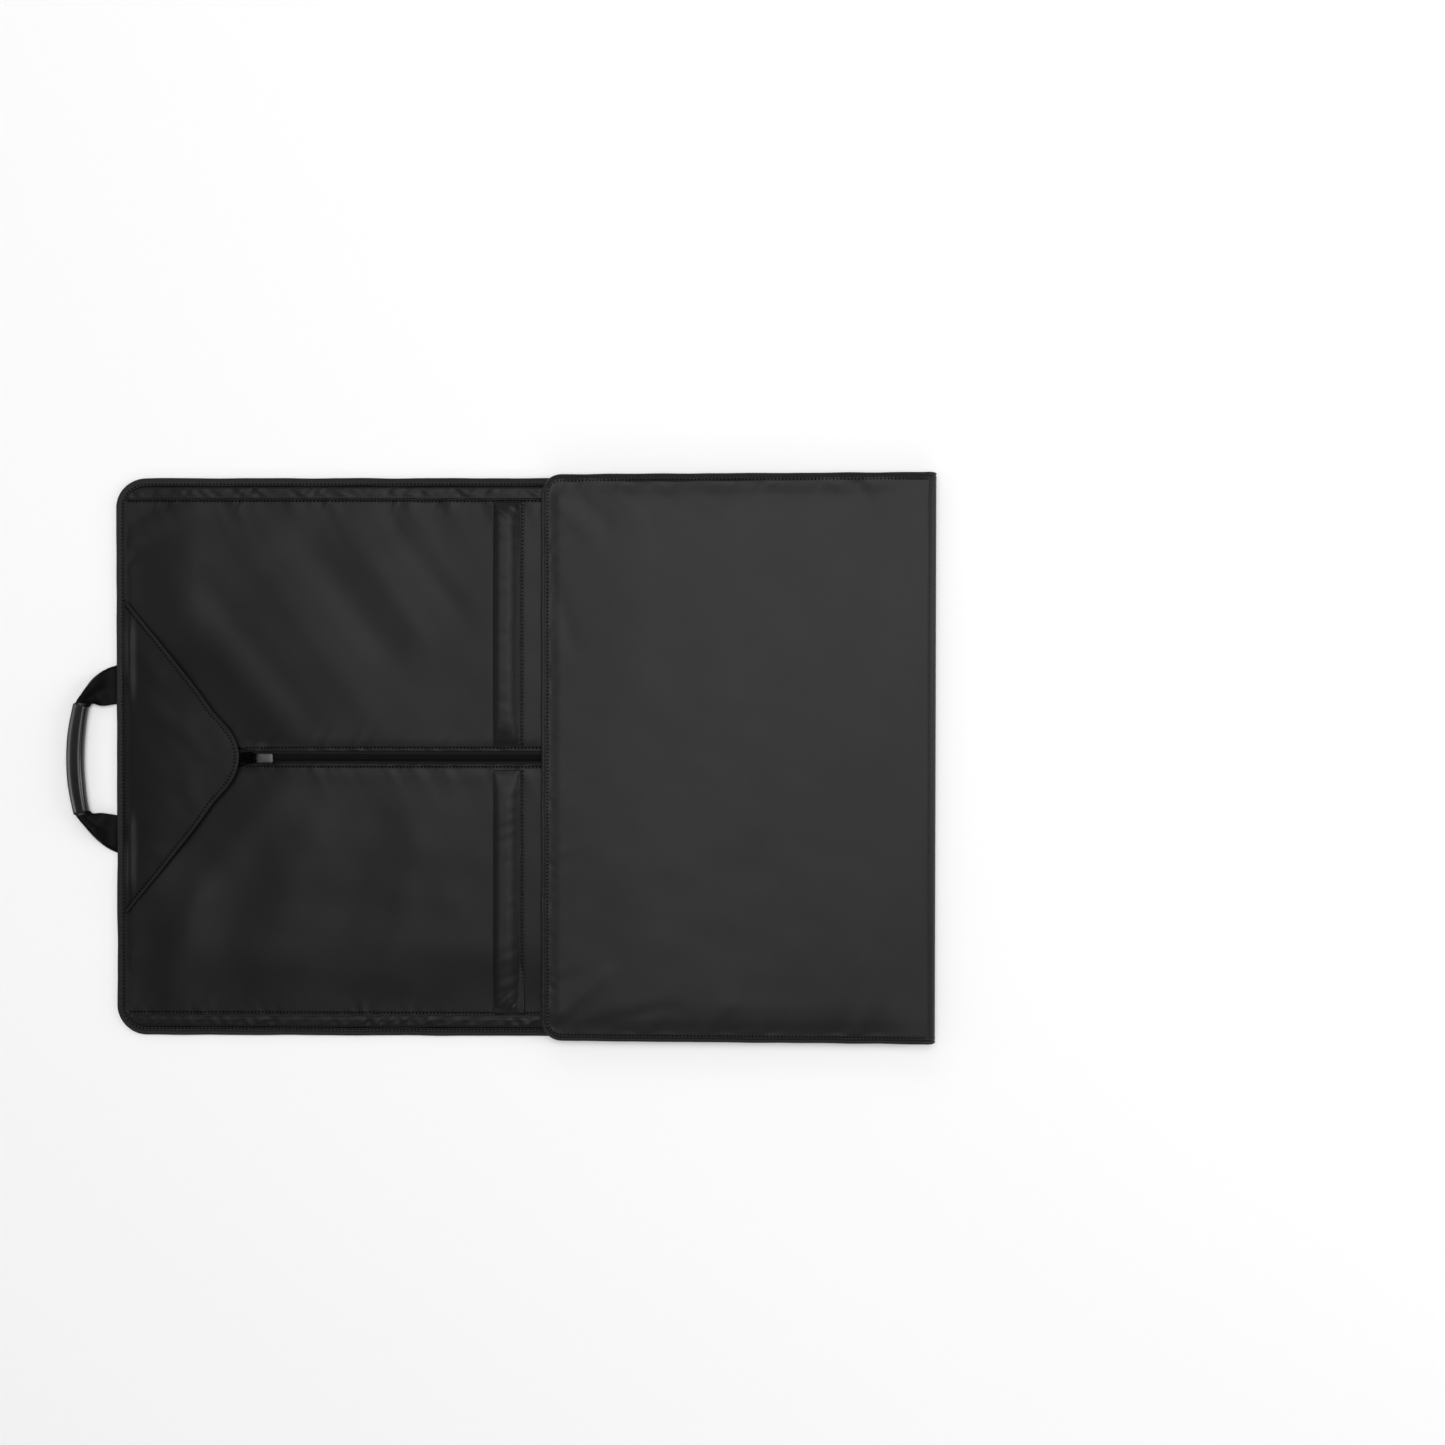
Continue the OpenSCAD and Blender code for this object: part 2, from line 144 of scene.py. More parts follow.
def make_studio():
    world = bpy.data.worlds.new("studio")
    world.use_nodes = True
    background = world.node_tree.nodes["Background"]
    background.inputs["Color"].default_value = (1.0, 1.0, 1.0, 1.0)
    background.inputs["Strength"].default_value = 0.26
    bpy.context.scene.world = world
    middle = (0.05, 0.0, 0.0)
    area_light("overhead_wide", (0.3, 0.95, 5.0), (0.3, 0.95, 0.0), (4.2, 4.1), 130)
    area_light("overhead_core", (0.6, 1.0, 4.9), (0.6, 1.0, 0.0), (2.2, 2.6), 48)
    area_light("side_back", (-0.4, 2.9, 1.6), middle, (3.0, 1.0), 12)
    area_light("side_left", (-3.0, 0.2, 1.5), middle, (1.0, 2.6), 9)
    area_light("side_right", (3.1, 0.2, 1.3), middle, (0.45, 2.6), 34)
    area_light("side_front", (0.2, -2.9, 1.4), middle, (2.8, 0.9), 10)
    bpy.context.scene.view_settings.view_transform = "Standard"
    size, z = 6.0, -0.0004
    corners = np.array([[-size, -size, z], [size, -size, z], [size, size, z], [-size, size, z]])
    floor = mesh_object("floor", corners, [(0, 1, 2, 3)])
    floor.data.materials.append(floor_material())


# ---------------------------------------------------------------- materials
def add(tree, kind, values=None, sources=None, **settings):
    """Adds a shader node with its inputs' values and the outputs that feed it. Returns its outputs."""
    made = tree.nodes.new("ShaderNode" + kind)
    for key, value in settings.items():
        setattr(made, key, value)
    for key, value in (values or {}).items():
        made.inputs[key].default_value = value
    for key, source in (sources or {}).items():
        tree.links.new(source, made.inputs[key])
    return made.outputs


def new_material(name, specular):
    material = bpy.data.materials.new(name)
    material.use_nodes = True
    tree = material.node_tree
    shader = tree.nodes["Principled BSDF"]
    shader.inputs["Specular IOR Level"].default_value = specular
    return material, tree, shader


def set_surface(tree, shader, colour, roughness, height, strength, depth_mm):
    tree.links.new(colour, shader.inputs["Base Color"])
    tree.links.new(roughness, shader.inputs["Roughness"])
    bump = add(tree, "Bump", {"Strength": strength, "Distance": depth_mm * MM}, {"Height": height})
    tree.links.new(bump["Normal"], shader.inputs["Normal"])


def noise(tree, place, scale, detail):
    return add(tree, "TexNoise", {"Scale": scale, "Detail": detail}, {"Vector": place})["Fac"]


def threads(tree, place, axis, spacing_mm, distortion, detail, detail_scale=1.0):
    """Parallel threads or ribs. A wave texture repeats every pi / 10 of its scaled coordinate."""
    values = {
        "Scale": math.pi / 10 / (spacing_mm * MM), "Distortion": distortion,
        "Detail": detail, "Detail Scale": detail_scale,
    }
    return add(tree, "TexWave", values, {"Vector": place}, wave_type="BANDS", bands_direction=axis)["Fac"]


def spread(tree, source, low, high, from_low=0.0, from_high=1.0):
    values = {"From Min": from_low, "From Max": from_high, "To Min": low, "To Max": high}
    return add(tree, "MapRange", values, {"Value": source})[0]


def two_tones(tree, source, colour, dark, light):
    """A ramp from a darker to a lighter tone of a colour. Each tone is (place on the ramp, brightness)."""
    ramp = tree.nodes.new("ShaderNodeValToRGB")
    for element, (place, share) in zip(ramp.color_ramp.elements, (dark, light)):
        element.position = place
        element.color = (*[c * share for c in colour], 1.0)
    tree.links.new(source, ramp.inputs["Fac"])
    return ramp.outputs["Color"]


def times(tree, first, second):
    return add(tree, "Math", sources={0: first, 1: second}, operation="MULTIPLY")[0]


def weighted_sum(tree, first, weight, second):
    """first * weight + second"""
    return add(tree, "Math", {1: weight}, {0: first, 2: second}, operation="MULTIPLY_ADD")[0]


def floor_material():
    material, tree, shader = new_material("floor_paper", 0.5)
    grain = add(tree, "TexNoise", {"Scale": 400.0})["Fac"]
    bump = add(tree, "Bump", {"Strength": 0.05, "Distance": 0.0002}, {"Height": grain})
    tree.links.new(bump["Normal"], shader.inputs["Normal"])
    shader.inputs["Base Color"].default_value = (0.92, 0.92, 0.92, 1.0)
    shader.inputs["Roughness"].default_value = 0.8
    return material


def cloth_material(name, colour, rough, weave_mm, specular, twill=0.0):
    """Woven cloth: two crossing sets of threads, with painted shade between them and painted highlight on
    them, and uneven colour and gloss over large and small areas.
    """
    material, tree, shader = new_material(name, specular)
    place = add(tree, "TexCoord")["Object"]
    cross = times(tree, *[threads(tree, place, axis, weave_mm, 0.6 + twill, 1.0, 0.4) for axis in "XY"])
    fine = noise(tree, place, 900.0, 2.0)
    blotches = spread(tree, noise(tree, place, 14.0, 4.0), 0.86, 1.14, 0.3, 0.7)
    # The weave's share of the tone is painted shade and painted highlight: darker in the gaps between the
    # threads, lighter on the threads. The blotches are random unevenness of colour.
    tone = times(tree, blotches, spread(tree, cross, 0.72, 1.2))
    paint = add(
        tree, "Mix", {"Factor": 1.0, 6: (*colour, 1.0)}, {7: tone}, data_type="RGBA", blend_type="MULTIPLY"
    )[2]
    gloss = spread(tree, fine, rough - 0.05, rough + 0.07)
    set_surface(tree, shader, paint, gloss, weighted_sum(tree, fine, 0.35, cross), 0.55, 0.03)
    return material


def ribbed_material(name, colour, rough, rib_mm, axis, specular):
    """Narrow woven tape or webbing, with ribs across it, and painted shade and painted highlight that follow
    the ribs.
    """
    material, tree, shader = new_material(name, specular)
    place = add(tree, "TexCoord")["Object"]
    ribs = threads(tree, place, axis, rib_mm, 0.8, 1.5)
    fluff = noise(tree, place, 1200.0, 3.0)
    # Painted shade in the grooves between the ribs and painted highlight on their crests, up to a quarter
    # brighter than the colour.
    paint = two_tones(tree, ribs, colour, (0.2, 0.6), (1.0, 1.25))
    gloss = spread(tree, fluff, rough - 0.06, rough + 0.08)
    set_surface(tree, shader, paint, gloss, weighted_sum(tree, fluff, 0.4, ribs), 0.6, 0.12)
    return material


def hard_material(name, colour, rough, metallic=0.0, grain_scale=300.0, grain_mm=0.01, specular=0.5):
    """Moulded or coated surface, with fine grain and uneven gloss."""
    material, tree, shader = new_material(name, specular)
    place = add(tree, "TexCoord")["Object"]
    wear = noise(tree, place, 35.0, 6.0)
    paint = two_tones(tree, wear, colour, (0.3, 0.8), (0.75, 1.2))
    gloss = spread(tree, wear, rough - 0.06, rough + 0.08)
    set_surface(tree, shader, paint, gloss, noise(tree, place, grain_scale, 5.0), 0.4, grain_mm)
    shader.inputs["Metallic"].default_value = metallic
    return material


# ---------------------------------------------------------------- mesh helpers
def mesh_object(name, points_m, faces, flat_faces=()):
    mesh = bpy.data.meshes.new(name)
    mesh.from_pydata(points_m.tolist(), [], faces)
    smooth = np.ones(len(mesh.polygons), bool)
    if len(flat_faces):
        smooth[np.asarray(flat_faces)] = False
    mesh.polygons.foreach_set("use_smooth", smooth)
    mesh.update()
    thing = bpy.data.objects.new(name, mesh)
    bpy.context.scene.collection.objects.link(thing)
    return thing


def make_mesh(name, points_mm, faces, material, flat_faces=()):
    thing = mesh_object(name, np.asarray(points_mm) * MM, faces, flat_faces)
    thing.data.materials.append(material)
    return thing


def grid_faces(rows, columns, offset=0, closed=False, flip=False):
    i, j = np.meshgrid(np.arange(rows - 1), np.arange(columns if closed else columns - 1), indexing="ij")
    i, j = i.ravel(), j.ravel()
    k = (j + 1) % columns
    quads = np.stack([i * columns + j, (i + 1) * columns + j, (i + 1) * columns + k, i * columns + k], 1)
    if flip:
        quads = quads[:, ::-1]
    return (quads + offset).tolist()


def grid_normals(grid):
    normal = np.cross(np.gradient(grid, axis=0), np.gradient(grid, axis=1))
    length = np.linalg.norm(normal, axis=2, keepdims=True)
    return normal / np.maximum(length, 1e-9)


def closed_shell(name, outer, inner, material, sharp_rim):
    """Two grids of the same size, back to back, joined round their rim."""
    rows, columns = outer.shape[:2]
    count = rows * columns
    faces = grid_faces(rows, columns) + grid_faces(rows, columns, count, flip=True)
    index = np.arange(count).reshape(rows, columns)
    ring = np.r_[index[:, 0], index[-1, 1:], index[-2::-1, -1], index[0, -2:0:-1]].tolist()
    rim = [(b, a, a + count, b + count) for a, b in zip(ring, ring[1:] + ring[:1])]
    flat = list(range(len(faces), len(faces) + len(rim))) if sharp_rim else ()
    points = np.concatenate([outer.reshape(-1, 3), inner.reshape(-1, 3)])
    return make_mesh(name, points, faces + rim, material, flat)


def shell(name, grid, thickness, material):
    """A closed thin shell. grid is its outer face, and its thickness goes against the grid's normal."""
    return closed_shell(name, grid, grid - grid_normals(grid) * thickness, material, True)


def turn(count):
    """Angles once round a circle, evenly spaced."""
    return np.arange(count) / count * 2 * math.pi


def sweep(name, rings, material, closed_path=False):
    """A tube through rings, an array (count, points, 3). Its ends are filled unless its path is closed."""
    rings = np.asarray(rings)
    count, points = rings.shape[:2]
    faces = grid_faces(count, points, closed=True)
    last = (count - 1) * points
    flat = []
    if closed_path:
        faces += [(last + j, j, (j + 1) % points, last + (j + 1) % points) for j in range(points)]
    else:
        flat = [len(faces), len(faces) + 1]
        faces += [tuple(range(points)), tuple(range(last + points - 1, last - 1, -1))]
    return make_mesh(name, rings.reshape(-1, 3), faces, material, flat)


def even_line(points, count=None, step=1.0):
    """Points spaced evenly along a line, count of them or else about step apart."""
    points = np.asarray(points, float)
    length = np.r_[0, np.cumsum(np.linalg.norm(np.diff(points, axis=0), axis=1))]
    count = count or max(2, int(round(length[-1] / step)) + 1)
    where = np.linspace(0, length[-1], count)
    return np.stack([np.interp(where, length, points[:, k]) for k in range(points.shape[1])], 1)


def resample(points, step):
    return even_line(points, step=step)


# Cross-sections of one stitch: share of half its length, share of its radius, lift in radii
STITCH_SECTIONS = [(-1.0, 0.35, -0.55), (-0.62, 1.0, 0.35), (0.62, 1.0, 0.35), (1.0, 0.35, -0.55)]


def stitches(name, lines, thread_and_hole_shade, length=1.6, radius=0.8, sides=6):
    """Rows of single stitches, a little larger than real ones, so that their near-black thread also paints
    the shade of the stitch holes. Each line is (points, up directions), with the points on the cloth.
    """
    all_points, faces = [], []
    for points, ups in lines:
        both = resample(np.hstack([points, ups]), STITCH_PITCH)
        places, up = both[:, :3], both[:, 3:]
        along = np.gradient(places, axis=0)
        along /= np.linalg.norm(along, axis=1, keepdims=True)
        up = up - along * (up * along).sum(1, keepdims=True)
        up /= np.linalg.norm(up, axis=1, keepdims=True)
        side = np.cross(along, up)
        for p, a, u, s in zip(places, along, up, side):
            base = len(all_points) * sides
            for step, width, lift in STITCH_SECTIONS:
                middle = p + a * step * length / 2 + u * lift * radius
                ring = [
                    middle + (s * math.cos(t) + u * math.sin(t) * 0.8) * radius * width
                    for t in turn(sides)
                ]
                all_points.append(ring)
            tube = np.array(grid_faces(4, sides, base, closed=True))[:, [0, 3, 2, 1]]
            faces += tube.tolist()
            faces.append(tuple(range(base + sides - 1, base - 1, -1)))
            faces.append(tuple(range(base + 3 * sides, base + 4 * sides)))
    return make_mesh(name, np.array(all_points).reshape(-1, 3), faces, thread_and_hole_shade)


def bend(thing):
    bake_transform(thing)


# ---------------------------------------------------------------- cloth shapes
def smooth(t):
    t = np.clip(t, 0, 1)
    return t * t * (3 - 2 * t)


def bump_at(t, centre, width, height):
    return height * np.exp(-(((t - centre) / width) ** 2))


def ripple(x, y, wavelength, seed, count=9):
    """Even, gentle unevenness of about the given wavelength, from -1 to 1 for the most part."""
    random = np.random.default_rng(seed)
    total = np.zeros(np.broadcast(x, y).shape)
    for _ in range(count):
        angle = random.uniform(0, math.pi)
        k = 2 * math.pi / (wavelength * random.uniform(0.7, 1.5))
        phase = random.uniform(0, 2 * math.pi)
        total = total + np.cos(k * (x * math.cos(angle) + y * math.sin(angle)) + phase)
    return total / math.sqrt(count)


def along_noise(s, wavelength, seed, count=7):
    random = np.random.default_rng(seed)
    total = np.zeros(np.shape(s))
    for _ in range(count):
        k = 2 * math.pi / (wavelength * random.uniform(0.6, 1.8))
        total = total + np.cos(k * s + random.uniform(0, 2 * math.pi))
    return total / math.sqrt(count)


def seam_pull(s, distance, seed, height=0.4, wavelength=9.0, reach=12.0, lean=0.5):
    """Short wrinkles that a stitched edge pulls into the cloth. s runs along the edge."""
    strength = 0.35 + 0.65 * smooth(0.5 + 0.6 * along_noise(s, 60, seed + 1))
    short = along_noise(s + lean * distance, wavelength, seed) * np.exp(-distance / (reach * 0.45))
    longer = along_noise(s - lean * distance, wavelength * 3.1, seed + 2) * np.exp(-distance / (reach * 1.6))
    fade = smooth(distance / 1.5)
    return height * strength * fade * (short + 1.3 * longer)


def creases(x, y, folds):
    """Soft ridges and valleys. Each fold is ((x, y) of one end, (x, y) of the other, width, height)."""
    total = np.zeros(np.broadcast(x, y).shape)
    for (x0, y0), (x1, y1), width, height in folds:
        length = math.hypot(x1 - x0, y1 - y0)
        ux, uy = (x1 - x0) / length, (y1 - y0) / length
        along = (x - x0) * ux + (y - y0) * uy
        across = (y - y0) * ux - (x - x0) * uy
        t = along / length
        fade = smooth(t / 0.25) * smooth((1 - t) / 0.25)
        total = total + height * fade * np.exp(-((across / width) ** 2))
    return total


# Folds of the front, in the upper half and in the lower half
UPPER_FOLDS = [
    ((-350, 190), (-165, -20), 27, 0.6),
    ((-318, 200), (-165, 10), 17, -1.1),
    ((-290, 262), (-105, 10), 18, 0.8),
    ((-262, 262), (-110, 60), 21, 0.7),
    ((-215, 240), (-85, 70), 19, -1.1),
    ((-165, 250), (-60, 95), 13, 0.8),
    ((-130, 262), (-20, 120), 12, -0.7),
    ((-385, 215), (-290, 262), 14, 0.9),
    ((-378, 238), (-320, 268), 9, -0.8),
]
LOWER_FOLDS = [
    ((-350, -190), (-195, -5), 18, 0.8),
    ((-310, -262), (-225, -50), 22, -1.3),
    ((-345, -262), (-290, -110), 14, 1.0),
    ((-255, -262), (-165, -20), 20, 1.0),
    ((-190, -255), (-110, -40), 18, -0.9),
    ((-120, -250), (-70, -30), 15, 0.7),
    ((-375, -262), (-340, -160), 10, -0.6),
]


def end_width(x, x0, corner_r, inset):
    """Half the width of a section at x, inside a line that runs at inset from its bound edges."""
    r = corner_r - inset
    d = np.clip(x - (x0 + inset), 0, r)
    return EDGE_Y - inset - r + np.sqrt(np.maximum(r * r - (r - d) ** 2, 0))


def spaced(low, high, step, fine_low=0.0, fine_high=0.0, fine_step=None):
    """Values from low to high, closer together over the stretches fine_low and fine_high at the ends."""
    fine_step = fine_step or step
    parts = [np.linspace(low, low + fine_low, max(2, int(fine_low / fine_step) + 1))[:-1]] if fine_low else []
    inner_low, inner_high = low + fine_low, high - fine_high
    parts.append(np.linspace(inner_low, inner_high, max(2, int((inner_high - inner_low) / step) + 1)))
    if fine_high:
        parts.append(np.linspace(inner_high, high, max(2, int(fine_high / fine_step) + 1))[1:])
    return np.concatenate(parts)


def front_height(x, y, x0, seed, folds):
    """Height of a section's front over its back. It is low at the bound end and near the seams."""
    from_end = x - (x0 + BINDING_W)
    rise = smooth(from_end / 75.0) * 0.75 + smooth(from_end / 8.0) * 0.25
    z = 4.0 + (FRONT_Z - 4.0) * rise
    to_seam = SEAM_Y - np.abs(y)
    z = z - 2.9 * (1 - smooth(to_seam / 75.0)) * rise
    calm = 0.3 + 0.7 * smooth((np.abs(y) - ZIP_HALF_GAP) / 28.0)
    z = z + calm * (0.45 * ripple(x, y, 150, seed) + 0.09 * ripple(x, y, 48, seed + 5))
    quiet = smooth(to_seam / 25.0) * smooth((np.abs(y) - ZIP_HALF_GAP) / 20.0)
    z = z + creases(x, y, folds) * (0.25 + 0.75 * quiet) * 0.9
    z = z + seam_pull(x, to_seam, seed + 11, 0.42, 10, 12)
    z = z + seam_pull(x, np.abs(y) - ZIP_HALF_GAP, seed + 21, 0.34, 7, 8)
    z = z + seam_pull(y, np.maximum(from_end, 0), seed + 31, 0.34, 9, 9)
    return z


def outward(grid, face_down, want_up=True):
    """Orders a grid so that its normal points up, or down for a section that lies face down."""
    up = grid_normals(grid)[..., 2].mean() > 0
    wanted = want_up != face_down
    return grid if up == wanted else grid[:, ::-1]


def flare(x, part):
    """The bag is a little wider at the fold than elsewhere. 1 is the nominal width."""
    if part == "lower":
        return 1.0096 + 0.0075 * (x - HEM_X) / (FOLD_X - HEM_X)
    return 1.001 + 0.0161 * smooth((x - 300) / 130)


def droop(x, y):
    """How far the folded-over section sinks at its hem and its long edges."""
    at_hem = 3.6 * (1 - smooth((x - HEM_X) / 105))
    at_edge = 2.0 * (1 - smooth((EDGE_Y - np.abs(y)) / 40)) * smooth((FOLD_X - 12 - x) / 60)
    return np.sqrt(at_hem ** 2 + at_edge ** 2)


def warp(points, part):
    """Moves points from the flat pattern to where the soft bag has them."""
    points = np.array(points, float)
    x, y = points[..., 0].copy(), points[..., 1].copy()
    if part == "lower":
        points[..., 2] -= droop(x, y)
    points[..., 1] = y * flare(x, part)
    return points


def turned(points):
    """From a section that lies face up to the lower section, which lies face down on the others."""
    points = np.array(points, float)
    points[..., 2] = STACK_Z - points[..., 2]
    return points


def section_grid(grid, folded_over):
    """A front's grid, from the flat pattern to its place, with its normal out of the section."""
    if folded_over:
        return outward(warp(turned(grid), "lower"), True)
    return outward(warp(grid, "main"), False)


def slit(x):
    """Half the gap between the front's two halves: closed, then the hanger opening, then the zip."""
    near = np.clip(np.minimum(x - SLOT_LOW_X, SLOT_HIGH_X - x), 0, SLOT_R)
    opening = np.sqrt(np.maximum(SLOT_R ** 2 - (SLOT_R - near) ** 2, 0))
    parting = ZIP_HALF_GAP + 3.6 * (1 - smooth((x - SLIDER_LOW[0] + 3) / 16))
    return np.maximum(np.where(x > ZIP_START_X, parting, 0.3), opening)


def seam_y(x, x0, corner_r):
    return np.minimum(SEAM_Y, end_width(x, x0, corner_r, BINDING_W))


def main_front_z(x, y):
    side = 1 if np.mean(y) > 0 else 0
    z = front_height(x, y, END_X, 3 + side * 40, UPPER_FOLDS if side else LOWER_FOLDS)
    # Under the folded-over section the cloth is pressed flat
    pressed = 8.9 + 0.08 * ripple(x, y, 60, 77) - 2.9 * (1 - smooth((SEAM_Y - np.abs(y)) / 55.0))
    under = smooth((x - (HEM_X + 14)) / 50)
    z = z * (1 - under) + pressed * under
    # The cloth lies deep along the flap's edges and rises away from them
    along, out = flap_side(x, y)
    deep = 6.4 * smooth((along - 28) / 75) * smooth((262 - along) / 62)
    deep = deep * np.exp(-((np.minimum(out + 4, 0) / 26) ** 2))
    z = z - deep * np.exp(-((np.maximum(out + 4, 0) / 42) ** 2)) * smooth((np.abs(y) + 4) / 22)
    over_board = 5.0 + 0.4 * (z - 5.0)
    near_board = smooth((-325 - x) / 20)
    z = np.where(z < 5.0, z * (1 - near_board) + np.maximum(over_board, 4.85) * near_board, z)
    near_zip = 1 - smooth((np.abs(y) - ZIP_HALF_GAP) / 13)
    z = z - 0.9 * near_zip * smooth((x - END_X - 60) / 60)
    return z + sewn_edges(y, smooth((x - ZIP_START_X) / 4))


def flap_side(x, y):
    """Distance along the flap's nearer straight edge from its root, and distance out from that edge."""
    ux, uy = 0.625, -0.780
    dx, dy = x + 376.0, np.abs(y) - 157.0
    return dx * ux + dy * uy, -dx * uy + dy * ux


def sewn_edges(y, zipped=1.0):
    """The turned edge and the stitched groove at a front's seam, and beside the zip."""
    a = np.abs(y)
    seam = bump_at(a, SEAM_Y - 0.7, 0.7, 0.55) - bump_at(a, SEAM_STITCH_Y, 0.9, 0.35)
    beside = bump_at(a, ZIP_HALF_GAP + 1.2, 1.0, 0.3) - bump_at(a, ZIP_STITCH_Y, 0.9, 0.3)
    return seam + beside * zipped


def lower_front_z(x, y):
    from_end = x - (HEM_X + BINDING_W)
    z = 4.2 + 4.4 * (0.7 * smooth(from_end / 70.0) + 0.3 * smooth(from_end / 12.0))
    z = z - 1.5 * (1 - smooth((SEAM_Y - np.abs(y)) / 40.0)) * smooth(from_end / 30)
    z = z + 0.25 * ripple(x, y, 90, 210) + seam_pull(x, SEAM_Y - np.abs(y), 214, 0.2, 10, 9)
    return z + sewn_edges(y)


def fold_dip(x, z):
    """The front's cloth turns in towards the other front at the fold."""
    t = smooth((x - (FLAT_END_X + 1)) / (INNER_X + 4.5 - FLAT_END_X))
    dip = 2.4 * np.exp(-(((x - (INNER_X + 1.0)) / 3.6) ** 2))
    return z * (1 - t) + (STACK_Z / 2 - 0.15) * t - dip


def main_at_fold(x, y):
    return fold_dip(x, main_front_z(x, y))


def lower_at_fold(x, y):
    return fold_dip(x, lower_front_z(x, y))


# ---------------------------------------------------------------- fronts and gussets
def front_grid(x, sign, x0, corner_r, height, inner):
    """One half of a front, from its zip to its seam."""
    near = np.array([0, 0.35, 0.8, 1.3, 1.8, 2.2, 2.6, 3.0, 3.4, 3.8, 4.3, 5.0, 6.0, 7.2, 8.6, 10.2])
    x = x[:, None]
    low, high = inner(x), seam_y(x, x0, corner_r)
    t = np.linspace(0, 1, 90)[None, 1:-1]
    far = (low + near[-1]) * (1 - t) + (high - near[-1]) * t
    y = sign * np.concatenate([low + near[None, :], far, high - near[None, ::-1]], axis=1)
    return np.stack([np.broadcast_to(x, y.shape), y, height(x, y)], 2)


def gusset_grid(x, sign, x0, corner_r, height, seed):
    """The strip between the front's seam and the binding, with slanting gathers."""
    t = np.r_[np.linspace(0, 0.76, 9), 0.82, 0.88, 0.94, 1.0]
    x = x[:, None]
    low, high = seam_y(x, x0, corner_r), end_width(x, x0, corner_r, BINDING_W) + 0.6
    width = np.maximum(high - low, 0.4)
    y = low + width * t[None, :]
    top = height(x, sign * low)
    z = top - 0.7 * t
    drop = smooth((t - 0.78) / 0.22)
    z = z * (1 - drop) + 2.7 * drop
    across = np.sin(np.pi * np.clip(t, 0, 1)) * np.minimum(width / 8, 1)
    lean = (y - low) * 1.15
    gather = along_noise(x + lean, 19, seed) + 0.45 * along_noise(x - 0.6 * lean, 11, seed + 1)
    gather = gather * (0.35 + 0.65 * smooth(0.55 + 0.5 * along_noise(x, 85, seed + 2)))
    z = z + 0.6 * across * gather - 0.45 * np.exp(-(((t - 0.12) / 0.1) ** 2))
    return np.stack([np.broadcast_to(x, y.shape), sign * y, z], 2)


def make_fronts(cloth):
    main_x = spaced(END_X + BINDING_W - 0.5, FLAT_END_X + 1, 2.6, 40, 4, 1.4)
    fold_x = np.linspace(FLAT_END_X + 1, INNER_END_X, 9)
    lower_x = spaced(HEM_X + BINDING_W - 0.5, FLAT_END_X + 1, 4.2, 30, 4, 1.8)
    lower_x = np.concatenate([lower_x, fold_x[1:]])

    def zip_gap(x):
        return np.full(np.shape(x), ZIP_HALF_GAP)

    def panel(name, grid, thickness, bodies, replaced=()):
        grid = section_grid(grid, bodies is FRONT_BEND_B)
        made = shell(name, grid, thickness, cloth["front"])
        if replaced:
            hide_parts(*replaced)
        bend(made)
        return made

    for word, sign in (("upper", 1), ("lower", -1)):
        line = (main_x, sign, END_X, TOP_CORNER_R, main_front_z)
        both = ("top_front_" + word, "middle_front_" + word)
        front = panel("front_" + word, front_grid(*line, slit), FRONT_T, TOP_BEND, both)
        both = ("top_gusset_" + word, "middle_gusset_" + word)
        gusset = panel("gusset_" + word, gusset_grid(*line, 300 + sign), GUSSET_T, TOP_BEND, both)

        line = (fold_x, sign, END_X, TOP_CORNER_R, main_at_fold)
        front = panel("front_fold_" + word, front_grid(*line, zip_gap), GUSSET_T, FRONT_BEND_A)
        gusset = panel("gusset_fold_" + word, gusset_grid(*line, 300 + sign), GUSSET_T, FRONT_BEND_A)

        line = (lower_x, sign, HEM_X, HEM_CORNER_R, lower_at_fold)
        one = ("lower_front_" + word,)
        front = panel("folded_front_" + word, front_grid(*line, zip_gap), FRONT_T, FRONT_BEND_B, one)
        one = ("lower_gusset_" + word,)
        gusset = panel("folded_gusset_" + word, gusset_grid(*line, 320 + sign), GUSSET_T, FRONT_BEND_B, one)


# ---------------------------------------------------------------- back
# Folds of the back as it shows on the folded-over section
LOWER_BACK_FOLDS = [
    ((46, 262), (108, 205), 9, 0.7),
    ((66, 272), (118, 222), 8, -0.6),
    ((112, 274), (150, 226), 8, 0.55),
    ((158, 274), (205, 232), 9, -0.5),
    ((182, 276), (240, 228), 9, 0.5),
    ((262, 276), (300, 240), 8, 0.35),
    ((50, 190), (78, 95), 9, -0.5),
    ((48, -262), (120, -200), 8, 0.9),
    ((70, -268), (190, -240), 7, -0.7),
    ((46, -215), (90, -130), 10, 0.5),
    ((196, -276), (236, -232), 9, 0.5),
    ((150, -276), (186, -240), 8, -0.4),
]


def lower_back_out(x, y):
    """Height of the folded-over section's upper face above its nominal plane."""
    edge = EDGE_Y - BINDING_W - np.abs(y)
    hem = x - HEM_X - BINDING_W
    z = 1.0 * smooth(edge / 16.0) * smooth(hem / 12.0) - 1.35
    z = z + 0.22 * ripple(x, y, 170, 401) + 0.09 * ripple(x, y, 50, 402)
    z = z + creases(x, y, LOWER_BACK_FOLDS) * 0.85
    z = z + seam_pull(x, np.maximum(edge, 0), 410, 0.4, 12, 13)
    z = z + seam_pull(y, np.maximum(hem, 0), 420, 0.36, 9, 12)
    return z


def across_shares():
    """From -1 to 1 across the bag, closer together at its edges."""
    t = np.linspace(-1, 1, 181)
    return np.sign(t) * (1 - (1 - np.abs(t)) ** 1.12)


def back_grid(x, x0, corner_r, height):
    x = x[:, None]
    y = end_width(x, x0, corner_r, BACK_INSET) * across_shares()[None, :]
    return np.stack([np.broadcast_to(x, y.shape), y, height(x, y)], 2)


